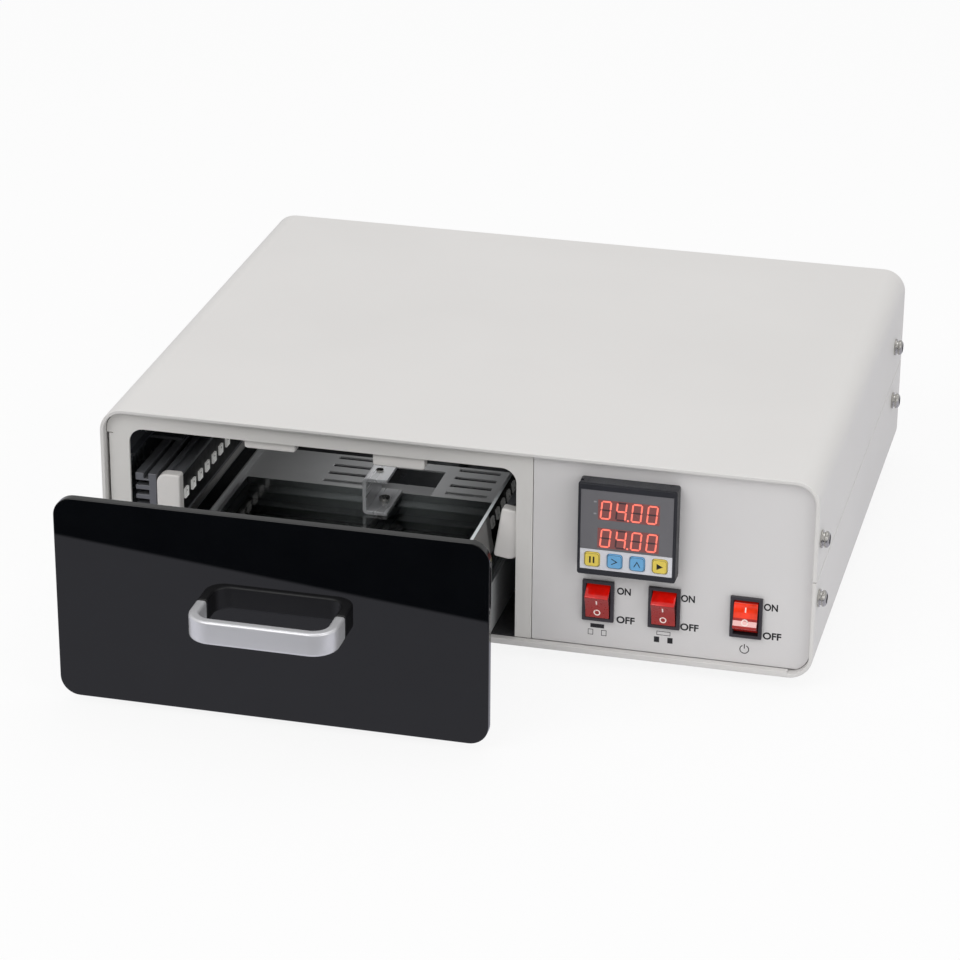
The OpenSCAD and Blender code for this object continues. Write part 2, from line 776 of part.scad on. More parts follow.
module moving_rail() {
    half = inner_w / 2;
    color("dimgray") {
        block(drawer_mid - half, drawer_mid + half, inner_back - inner_l, inner_back, tie_z - rail_t, tie_z);
        for (side = [-1, 1]) {
            x = side < 0 ? drawer_mid - half : drawer_mid + half - rail_t;
            block(x, x + rail_t, inner_back - inner_l, inner_back, inner_z0, tie_z - 0.01);
        }
    }
}

// Lamps: each lies along Y with its light face towards +Z and its middle on the origin
module lamp_outline(w, t, r_face, r_back) {
    round_box(-w / 2, w / 2, -t, 0, r_back, r_face);
}

module along_lamp(d0, d1) {
    translate([0, d1, 0]) rotate([90, 0, 0]) linear_extrude(d1 - d0) children();
}

module lamp_body() {
    along_lamp(cap_l, lamp_l - cap_l) difference() {
        translate([0, -0.6]) lamp_outline(body_w, body_t, 0.6, 2);
        translate([-strip_w / 2, -strip_t - 0.6]) square([strip_w, strip_t + 1]);
        for (side = [-1, 1])
            translate([side * body_w / 2, -body_t / 2 - 0.6]) square([2.4, 2.4], center = true);
    }
}

module led_strip() {
    along_lamp(cap_l + 0.2, lamp_l - cap_l - 0.2)
        translate([-strip_w / 2 + 0.1, -strip_t - 0.6]) square([strip_w - 0.2, strip_t]);
    for (i = [0:led_count - 1])
        translate([-led_size / 2, cap_l + 1.5 + i * led_pitch, -0.61]) cube([led_size, led_size, led_h]);
}

module lamp_caps() {
    for (d = [0, lamp_l - cap_l])
        along_lamp(d, d + cap_l) lamp_outline(cap_w, cap_t, 1.5, 5);
}

module place_left() {
    at(drawer_x0 + 0.5, lamp_front, side_lamp_z) rotate([0, 90, 0]) children();
}

module place_right() {
    at(drawer_x1, lamp_front, side_lamp_z + right_lamp_lift - cap_w / 2)
        rotate([0, right_lamp_tilt, 0]) translate([0, 0, cap_w / 2]) rotate([0, -90, 0]) children();
}

module place_top(side) {
    at(drawer_mid + side * top_lamp_pitch / 2, lamp_front, top_lamp_z + cap_t / 2 - (side > 0 ? top_lamp_drop : 0))
        translate([0, 0, -cap_t]) rotate([0, 180, 0]) children();
}

module lamp_left() { color("black") place_left() lamp_body(); }
module lamp_right() { color("black") place_right() lamp_body(); }
module lamp_top_left() { color("black") place_top(-1) lamp_body(); }
module lamp_top_right() { color("black") place_top(1) lamp_body(); }
module led_strip_left() { color("white") place_left() led_strip(); }
module led_strip_right() { color("white") place_right() led_strip(); }
module led_strip_top_left() { color("white") place_top(-1) led_strip(); }
module led_strip_top_right() { color("white") place_top(1) led_strip(); }

module lamp_end_caps() {
    color("white") {
        place_left() lamp_caps();
        place_right() lamp_caps();
        place_top(-1) lamp_caps();
        place_top(1) lamp_caps();
    }
}

// Grooved cooling profile behind the left lamp
module side_heat_sink() {
    x1 = drawer_x0 + 0.5 - cap_t - gap;
    z0 = side_lamp_z - body_w / 2;
    color("dimgray") upright(lamp_front + 1, lamp_front + lamp_l - 1) difference() {
        translate([x1 - sink_w, z0]) square([sink_w, body_w]);
        translate([x1 - sink_w / 2 - 1.2, z0 + body_w - 3]) square([2.4, 4]);
        for (i = [0:3])
            translate([x1 - sink_w - cut, z0 + 2.4 + i * 5]) square([sink_w - 4 + cut, 2.6]);
    }
}

// Carriers that hold the lamps to the bay lining
module lamp_brackets() {
    sink_x = drawer_x0 + 0.5 - cap_t - gap - sink_w;
    sink_top = side_lamp_z + body_w / 2;
    right_back = drawer_x1 + 15.5;
    color("gray") {
        for (d = [50, lamp_l - 60]) {
            block(liner_left + liner_t, sink_x + sink_w - 1, d, d + 14, sink_top, sink_top + bracket_t);
            block(right_back, liner_right - liner_t, d, d + 14,
                side_lamp_z + right_lamp_lift - 8, side_lamp_z + right_lamp_lift + 8);
            for (side = [-1, 1])
                at(drawer_mid + side * top_lamp_pitch / 2, d + 7, 0) {
                    z = top_lamp_z + cap_t / 2 - (side > 0 ? top_lamp_drop : 0) - (cap_t - body_t) + 0.6;
                    translate([0, 0, z]) cylinder(r = 3.5, h = ceiling_z - z);
                }
        }
    }
}

// Timer
module timer_square(size, r) {
    round_box(timer_cx - size / 2, timer_cx + size / 2, timer_cz - size / 2, timer_cz + size / 2, r, r);
}

module timer_bezel() {
    pocket_x0 = timer_cx - timer_size / 2 + bezel_rim;
    pocket_x1 = timer_cx + timer_size / 2 - bezel_rim;
    pocket_z0 = timer_cz - timer_size / 2 + 3;
    pocket_z1 = pocket_z0 + keypad_h + window_h + 0.2;
    color("black") difference() {
        union() {
            upright(timer_face + 0.8, face_recess) timer_square(timer_size, 1.2);
            upright(timer_face, timer_face + 0.81) timer_square(timer_size - 1, 0.8);
        }
        block(pocket_x0, pocket_x1, timer_face - cut, timer_face + pocket_d, pocket_z0, pocket_z1);
        block(pocket_x0 + 1.5, pocket_x1 - 1.5, timer_face, timer_face + 7, pocket_z0 + 1.5, pocket_z0 + keypad_h - 1);
        block(pocket_x0 + 2, pocket_x1 - 2, timer_face, timer_face + 3.4, pocket_z0 + keypad_h + 0.8, pocket_z1 - 2);
        for (i = [0:4])
            block(timer_cx - 20, timer_cx + 20, timer_face + 2.2 + i * 1.2, timer_face + 2.8 + i * 1.2,
                timer_cz + timer_size / 2 - 0.4, timer_cz + timer_size / 2 + cut);
        block(timer_cx - timer_size / 2 - cut, timer_cx - timer_size / 2 + 2, timer_face + 3, timer_face + 5,
            timer_cz + timer_size / 2 - 1.4, timer_cz + timer_size / 2 + cut);
    }
}

module timer_window() {
    x = timer_size / 2 - bezel_rim - 0.1;
    z0 = timer_cz - timer_size / 2 + 3 + keypad_h + 0.1;
    color("dimgray", 0.6) block(timer_cx - x, timer_cx + x, timer_face + 0.2, timer_face + pocket_d, z0, z0 + window_h);
}

module timer_display() {
    z0 = timer_cz - timer_size / 2 + 3 + keypad_h;
    color("darkred") {
        block(timer_cx - 19, timer_cx + 19, timer_face + 2.4, timer_face + 3.4, z0 + 1.1, z0 + window_h - 2.4);
        for (row = [0, 1])
            block(timer_cx - 14.2, timer_cx + 16, timer_face + pocket_d + 0.1, timer_face + 2.41,
                z0 + 1.3 + row * 14.7, z0 + 11.7 + row * 14.7);
    }
}

module timer_keypad() {
    x = timer_size / 2 - bezel_rim - 0.1;
    color("white") difference() {
        block(timer_cx - x, timer_cx + x, timer_face + 0.2, timer_face + pocket_d,
            key_z - keypad_h / 2 + 0.1, key_z + keypad_h / 2 - 0.2);
        for (i = [0:3])
            upright(timer_face - cut, timer_face + 3) key_outline(i, key_size + 2 * 0.2);
    }
}

function key_x(i) = timer_cx + (i - 1.5) * key_pitch;

module key_outline(i, size) {
    round_box(key_x(i) - size / 2, key_x(i) + size / 2, key_z - size / 2, key_z + size / 2, 1.6, 1.6);
}

module timer_key(i) {
    upright(timer_face + 0.2 - key_proud, timer_face + 3) key_outline(i, key_size);
}

module timer_key_pause() { color("gold") timer_key(0); }
module timer_key_next() { color("skyblue") timer_key(1); }
module timer_key_up() { color("skyblue") timer_key(2); }
module timer_key_run() { color("gold") timer_key(3); }

module timer_case() {
    size = timer_size - 3.4;
    color("dimgray") difference() {
        union() {
            upright(face_recess, plate_back + timer_deep) timer_square(size, 1);
            for (i = [0:5])
                block(timer_cx - 19 + i * 6.6, timer_cx - 14 + i * 6.6, plate_back + timer_deep - 0.01,
                    plate_back + timer_deep + 6, timer_cz - 14, timer_cz + 14);
        }
        for (side = [-1, 1])
            for (i = [0:7])
                block(timer_cx - size, timer_cx + size, plate_back + 22 + i * 5, plate_back + 23.5 + i * 5,
                    timer_cz + side * size / 2 - 0.6, timer_cz + side * size / 2 + 0.6);
    }
}

module timer_clamp() {
    size = timer_size - 3.4 + 2 * gap;
    color("black") upright(plate_back, plate_back + 12) difference() {
        timer_square(size + 3.6, 1.5);
        timer_square(size, 1);
    }
}

// Rocker switches: place is the middle of the flange on the panel's front
module switch_place(x) {
    at(x, face_recess, switch_z) children();
}

module switch_body(x, w, h) {
    inner_w2 = w - 2 * switch_rim;
    inner_h2 = h - 2 * switch_rim;
    color("black") switch_place(x) {
        difference() {
            union() {
                translate([-w / 2, -switch_proud, -h / 2]) cube([w, switch_proud, h]);
                translate([-w / 2 + 1.2, -0.01, -h / 2 + 1.2]) cube([w - 2.4, switch_deep, h - 2.4]);
            }
            translate([-inner_w2 / 2, -switch_proud - cut, -inner_h2 / 2])
                cube([inner_w2, switch_proud + cut + 9, inner_h2]);
            translate([0, pivot_in, 0]) rotate([0, 90, 0]) cylinder(r = 1.05, h = inner_w2 + 1.2, center = true);
        }
        for (z = [-4.5, 0, 4.5])
            translate([-2.4, switch_deep - 0.01, z - 0.4]) cube([4.8, 7, 0.8]);
    }
}

// A rocker with a flat face between two crests, its pivot pins, and its lean at rest
module rocker(x, w, h, lean) {
    rocker_w = w - 2 * switch_rim - 0.5;
    reach = h / 2 - switch_rim - 0.35;
    crest_r = reach + crest_out;
    touch = crest_angle + acos(reach / crest_r);
    switch_place(x) translate([0, pivot_in, 0]) rotate([lean, 0, 0]) rotate([0, 90, 0]) {
        linear_extrude(rocker_w, center = true) intersection() {
            union() {
                circle(r = reach);
                polygon([[0, 0], [-reach * sin(touch), -reach * cos(touch)],
                    [-crest_r * sin(crest_angle), -crest_r * cos(crest_angle)],
                    [crest_r * sin(crest_angle), -crest_r * cos(crest_angle)],
                    [reach * sin(touch), -reach * cos(touch)]]);
            }
            translate([-2 * reach, -2 * reach]) square([4 * reach, 2 * reach + 3]);
        }
        cylinder(r = 1, h = rocker_w + 1.4, center = true);
    }
}

module switch_body_top_lamps() { switch_body(top_switch_x, lamp_switch_w, lamp_switch_h); }
module switch_body_side_lamps() { switch_body(side_switch_x, lamp_switch_w, lamp_switch_h); }
module switch_body_power() { switch_body(power_switch_x, power_switch_w, power_switch_h); }
module rocker_top_lamps() { color("red") rocker(top_switch_x, lamp_switch_w, lamp_switch_h, rocker_swing / 2); }
module rocker_side_lamps() { color("red") rocker(side_switch_x, lamp_switch_w, lamp_switch_h, rocker_swing / 2); }
module rocker_power() { color("red") rocker(power_switch_x, power_switch_w, power_switch_h, -rocker_swing / 2); }

// Power supply on the base, under the electronics side
module power_supply() {
    x0 = supply_x0;
    d0 = case_d - supply_rear_gap - supply_l;
    color("silver") difference() {
        block(x0, x0 + supply_w, d0, d0 + supply_l, sheet_t, sheet_t + supply_h);
        block(x0 + 3, x0 + supply_w - 3, d0 - cut, d0 + 14, sheet_t + 12, sheet_t + supply_h + cut);
        for (i = [0:floor((supply_w - 24) / 8)])
            for (k = [0:4])
                rod_z(x0 + 12 + i * 8, d0 + 40 + k * 14, sheet_t + supply_h - 1, sheet_t + supply_h + cut, 2);
    }
}

module mains_inlet() {
    color("black") difference() {
        union() {
            upright(rear_out, rear_out + 2.5) round_box(inlet_x - inlet_w / 2, inlet_x + inlet_w / 2,
                inlet_z - inlet_h / 2, inlet_z + inlet_h / 2, 5, 5);
            block(inlet_x - inlet_w / 2 + 10.2, inlet_x + inlet_w / 2 - 10.2, rear_out - 22, rear_out + 0.01,
                inlet_z - inlet_h / 2 + 2.2, inlet_z + inlet_h / 2 - 2.2);
        }
        block(inlet_x - 12.3, inlet_x + 12.3, rear_out - 14, rear_out + 2.5 + cut, inlet_z - 2, inlet_z + 13.5);
        block(inlet_x - 12.3, inlet_x + 12.3, rear_out - 14, rear_out + 2.5 + cut, inlet_z - 13.7, inlet_z - 4.5);
    }
    color("silver") for (i = [-1, 0, 1])
        block(inlet_x + i * 7 - 1, inlet_x + i * 7 + 1, rear_out - 14.01, rear_out - 3,
            inlet_z + 3 + (i == 0 ? 2.6 : 0), inlet_z + 7 + (i == 0 ? 2.6 : 0));
}

module fuse_drawer() {
    color("dimgray") difference() {
        block(inlet_x - 12, inlet_x + 12, rear_out - 13.7, rear_out + 2.2, inlet_z - 13.4, inlet_z - 4.8);
        block(inlet_x - 4, inlet_x + 4, rear_out + 1, rear_out + 3, inlet_z - 13.4 - cut, inlet_z - 12);
    }
}

// Fan on the back wall of the bay
module each_fan_screw() {
    for (x = [-1, 1])
        for (z = [-1, 1])
            at(fan_x + x * fan_screw_pitch / 2, rear_out, fan_z + z * fan_screw_pitch / 2) rotate([90, 0, 0]) children();
}

module fan_frame() {
    d0 = rear_in - fan_t;
    color("black") {
        difference() {
            upright(d0, rear_in) round_box(fan_x - fan_size / 2, fan_x + fan_size / 2,
                fan_z - fan_size / 2, fan_z + fan_size / 2, 4, 4);
            rod_y(fan_x, d0 - cut, rear_in + cut, fan_z, fan_bore);
            each_fan_screw() translate([0, 0, plate_t - cut]) cylinder(r = screw_r + fit, h = fan_t + 2 * cut);
        }
        difference() {
            union() {
                rod_y(fan_x, d0, d0 + 3, fan_z, 11);
                at(fan_x, d0 + 3, fan_z) rotate([90, 0, 0]) for (a = [45, 135, 225, 315])
                    rotate([0, 0, a]) translate([10, -1.5, 0]) cube([fan_bore - 9, 3, 3]);
            }
            rod_y(fan_x, d0 - cut, d0 + 3 + cut, fan_z, 1.5);
        }
    }
}

module fan_rotor() {
    d0 = rear_in - fan_t;
    color("dimgray") {
        rod_y(fan_x, d0 + 3.4, d0 + fan_t - 0.6, fan_z, 12);
        rod_y(fan_x, d0 + 0.4, d0 + 3.5, fan_z, 1.45);
        intersection() {
            at(fan_x, d0 + fan_t / 2 + 1.4, fan_z) rotate([90, 0, 0]) for (i = [0:fan_blades - 1])
                rotate([0, 0, i * 360 / fan_blades]) translate([10, 0, 0]) rotate([35, 0, 0])
                    translate([0, -6.5, -0.6]) cube([20, 13, 1.2]);
            rod_y(fan_x, d0 + 3.4, d0 + fan_t - 0.6, fan_z, fan_bore - 0.7);
        }
    }
}

module fan_guard() {
    wire = 0.9;
    color("silver") at(fan_x, rear_out + wire, fan_z) rotate([90, 0, 0]) {
        for (r = [6:6:fan_hole - 1])
            translate([0, 0, 0]) rotate_extrude() translate([r, 0]) circle(r = wire, $fn = 24);
        for (a = [45, 135, 225, 315])
            rotate([0, 0, a]) translate([5, 0, -0.2]) rotate([0, 90, 0])
                cylinder(r = wire * 0.9, h = fan_screw_pitch * 0.7071 - 8.6, $fn = 24);
        for (x = [-1, 1])
            for (z = [-1, 1])
                translate([x * fan_screw_pitch / 2, z * fan_screw_pitch / 2, 0]) rotate_extrude()
                    translate([screw_r + 0.4 + wire, 0]) circle(r = wire, $fn = 24);
    }
}

module fan_screws() {
    color("silver") each_fan_screw() {
        translate([0, 0, -2 * 0.9 - 2.2]) cylinder(r = 3, h = 2);
        translate([0, 0, -2 * 0.9 - 0.21]) cylinder(r = screw_r, h = 12);
    }
}

top_cover();
base_tray();
front_frame();
control_panel();
rear_panel();
partition_wall();
bay_liner();
bay_floor();
side_screws();
side_washers();
feet();
foot_screws();
drawer_front();
front_screws();
handle_grip();
handle_base();
handle_screws();
drawer_frame();
glass_plate();
side_pane();
work_bracket();
bracket_screws();
fixed_rail();
rail_screws();
ball_cage();
moving_rail();
lamp_left();
lamp_right();
lamp_top_left();
lamp_top_right();
led_strip_left();
led_strip_right();
led_strip_top_left();
led_strip_top_right();
lamp_end_caps();
side_heat_sink();
lamp_brackets();
timer_bezel();
timer_window();
timer_display();
timer_keypad();
timer_key_pause();
timer_key_next();
timer_key_up();
timer_key_run();
timer_case();
timer_clamp();
switch_body_top_lamps();
switch_body_side_lamps();
switch_body_power();
rocker_top_lamps();
rocker_side_lamps();
rocker_power();
power_supply();
mains_inlet();
fuse_drawer();
fan_frame();
fan_rotor();
fan_guard();
fan_screws();
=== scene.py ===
import bpy
import bmesh
import json
import math
from mathutils import Matrix, Quaternion, Vector


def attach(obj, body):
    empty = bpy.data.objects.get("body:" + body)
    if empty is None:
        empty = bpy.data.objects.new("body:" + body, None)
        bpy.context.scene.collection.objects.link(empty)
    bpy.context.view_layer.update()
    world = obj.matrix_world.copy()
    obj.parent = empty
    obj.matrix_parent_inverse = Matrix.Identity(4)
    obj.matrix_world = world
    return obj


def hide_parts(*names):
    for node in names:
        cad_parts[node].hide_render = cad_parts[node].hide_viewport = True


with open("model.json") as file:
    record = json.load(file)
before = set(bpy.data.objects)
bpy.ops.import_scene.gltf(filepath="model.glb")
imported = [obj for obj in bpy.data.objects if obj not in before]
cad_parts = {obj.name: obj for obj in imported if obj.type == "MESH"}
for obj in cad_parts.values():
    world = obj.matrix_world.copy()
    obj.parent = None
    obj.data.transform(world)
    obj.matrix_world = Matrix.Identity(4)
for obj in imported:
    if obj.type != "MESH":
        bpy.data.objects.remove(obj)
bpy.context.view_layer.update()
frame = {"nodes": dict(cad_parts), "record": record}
NODES = frame["nodes"]
BODY = {n: b for b, ns in frame["record"]["behaviour"]["bodies"].items() for n in ns}
SLOT = {s["node"]: s["material_slot"] for s in frame["record"]["subparts"]}

# Case places in millimetres: x to the right, d behind the front edge, z over the case bottom
MM = 0.001
FRONT_Y, FOOT = -77.0, 6.5


def P(x, d, z):
    return Vector((x, FRONT_Y + d, FOOT + z)) * MM


# Materials
def srgb(r, g, b):
    def f(c):
        c /= 255.0
        return c / 12.92 if c <= 0.04045 else ((c + 0.055) / 1.055) ** 2.4
    return (f(r), f(g), f(b))


def nodes_of(mat):
    mat.use_nodes = True
    nt = mat.node_tree
    nt.nodes.clear()
    out = nt.nodes.new("ShaderNodeOutputMaterial")
    return nt, out


def noise(nt, vector, scale, detail):
    node = nt.nodes.new("ShaderNodeTexNoise")
    node.inputs["Scale"].default_value = scale
    node.inputs["Detail"].default_value = detail
    nt.links.new(vector, node.inputs["Vector"])
    return node.outputs[0]


def surface(name, color, rough=0.4, metal=0.0, spec=0.5, var=0.05, var_scale=25.0, rough_var=0.06,
            bump=0.05, bump_scale=900.0, stretch=(1, 1, 1), coat=0.0, specks=None,
            emit=None, emit_strength=0.0):
    """A painted, plastic or metal surface: one noise tints it, one roughens it and one bumps it."""
    mat = bpy.data.materials.new(name)
    nt, out = nodes_of(mat)
    N, L = nt.nodes, nt.links
    b = N.new("ShaderNodeBsdfPrincipled")
    L.new(b.outputs[0], out.inputs[0])
    b.inputs["Metallic"].default_value = metal
    b.inputs["Specular IOR Level"].default_value = spec
    b.inputs["Coat Weight"].default_value = coat
    b.inputs["Coat Roughness"].default_value = 0.05
    tc = N.new("ShaderNodeTexCoord")
    mp = N.new("ShaderNodeMapping")
    mp.inputs["Scale"].default_value = stretch
    L.new(tc.outputs["Object"], mp.inputs["Vector"])
    ramp = N.new("ShaderNodeValToRGB")
    lo = [max(0.0, c * (1 - var)) for c in color]
    hi = [min(1.0, c * (1 + var)) for c in color]
    ramp.color_ramp.elements[0].position = 0.3
    ramp.color_ramp.elements[1].position = 0.7
    ramp.color_ramp.elements[0].color = (*lo, 1)
    ramp.color_ramp.elements[1].color = (*hi, 1)
    L.new(noise(nt, mp.outputs[0], var_scale, 6.0), ramp.inputs[0])
    col = ramp.outputs[0]
    if specks:
        scolor, sscale, cut = specks
        r2 = N.new("ShaderNodeValToRGB")
        r2.color_ramp.elements[0].position = cut
        r2.color_ramp.elements[1].position = cut + 0.06
        L.new(noise(nt, tc.outputs["Object"], sscale, 2.0), r2.inputs[0])
        mix = N.new("ShaderNodeMix")
        mix.data_type = "RGBA"
        L.new(r2.outputs[0], mix.inputs[0])
        L.new(col, mix.inputs[6])
        mix.inputs[7].default_value = (*scolor, 1)
        col = mix.outputs[2]
    L.new(col, b.inputs["Base Color"])
    mr = N.new("ShaderNodeMapRange")
    mr.inputs["From Min"].default_value = 0.3
    mr.inputs["From Max"].default_value = 0.7
    mr.inputs["To Min"].default_value = max(0.02, rough - rough_var)
    mr.inputs["To Max"].default_value = min(1.0, rough + rough_var)
    L.new(noise(nt, mp.outputs[0], var_scale * 2.7, 4.0), mr.inputs["Value"])
    L.new(mr.outputs[0], b.inputs["Roughness"])
    bp = N.new("ShaderNodeBump")
    bp.inputs["Strength"].default_value = bump
    bp.inputs["Distance"].default_value = 0.0002
    L.new(noise(nt, mp.outputs[0], bump_scale, 3.0), bp.inputs["Height"])
    L.new(bp.outputs[0], b.inputs["Normal"])
    if emit:
        b.inputs["Emission Color"].default_value = (*emit, 1)
        b.inputs["Emission Strength"].default_value = emit_strength
    return mat


def pane(name, tint, edge, flat_axis="Z"):
    """A sheet of clear glass or acrylic: clear on its faces, tinted on its cut edges."""
    mat = bpy.data.materials.new(name)
    nt, out = nodes_of(mat)
    N, L = nt.nodes, nt.links
    tr = N.new("ShaderNodeBsdfTransparent")
    gl = N.new("ShaderNodeBsdfPrincipled")
    gl.inputs["Base Color"].default_value = (*edge, 1)
    gl.inputs["Roughness"].default_value = 0.12
    tc = N.new("ShaderNodeTexCoord")
    cloud = noise(nt, tc.outputs["Object"], 14.0, 5.0)
    rp = N.new("ShaderNodeValToRGB")
    rp.color_ramp.elements[0].color = (*[c * 0.93 for c in tint], 1)
    rp.color_ramp.elements[1].color = (*tint, 1)
    L.new(cloud, rp.inputs[0])
    L.new(rp.outputs[0], tr.inputs[0])
    go = N.new("ShaderNodeBsdfGlossy")
    mr = N.new("ShaderNodeMapRange")
    mr.inputs["To Min"].default_value = 0.01
    mr.inputs["To Max"].default_value = 0.04
    L.new(cloud, mr.inputs["Value"])
    L.new(mr.outputs[0], go.inputs["Roughness"])
    fr = N.new("ShaderNodeFresnel")
    fr.inputs["IOR"].default_value = 1.45
    m1 = N.new("ShaderNodeMixShader")
    L.new(fr.outputs[0], m1.inputs[0])
    L.new(tr.outputs[0], m1.inputs[1])
    L.new(go.outputs[0], m1.inputs[2])
    geo = N.new("ShaderNodeNewGeometry")
    sp = N.new("ShaderNodeSeparateXYZ")
    L.new(geo.outputs["True Normal"], sp.inputs[0])
    ab = N.new("ShaderNodeMath")
    ab.operation = "ABSOLUTE"
    L.new(sp.outputs[flat_axis], ab.inputs[0])
    lt = N.new("ShaderNodeMath")
    lt.operation = "LESS_THAN"
    lt.inputs[1].default_value = 0.9
    L.new(ab.outputs[0], lt.inputs[0])
    m2 = N.new("ShaderNodeMixShader")
    L.new(lt.outputs[0], m2.inputs[0])
    L.new(m1.outputs[0], m2.inputs[1])
    L.new(gl.outputs[0], m2.inputs[2])
    L.new(m2.outputs[0], out.inputs[0])
    return mat


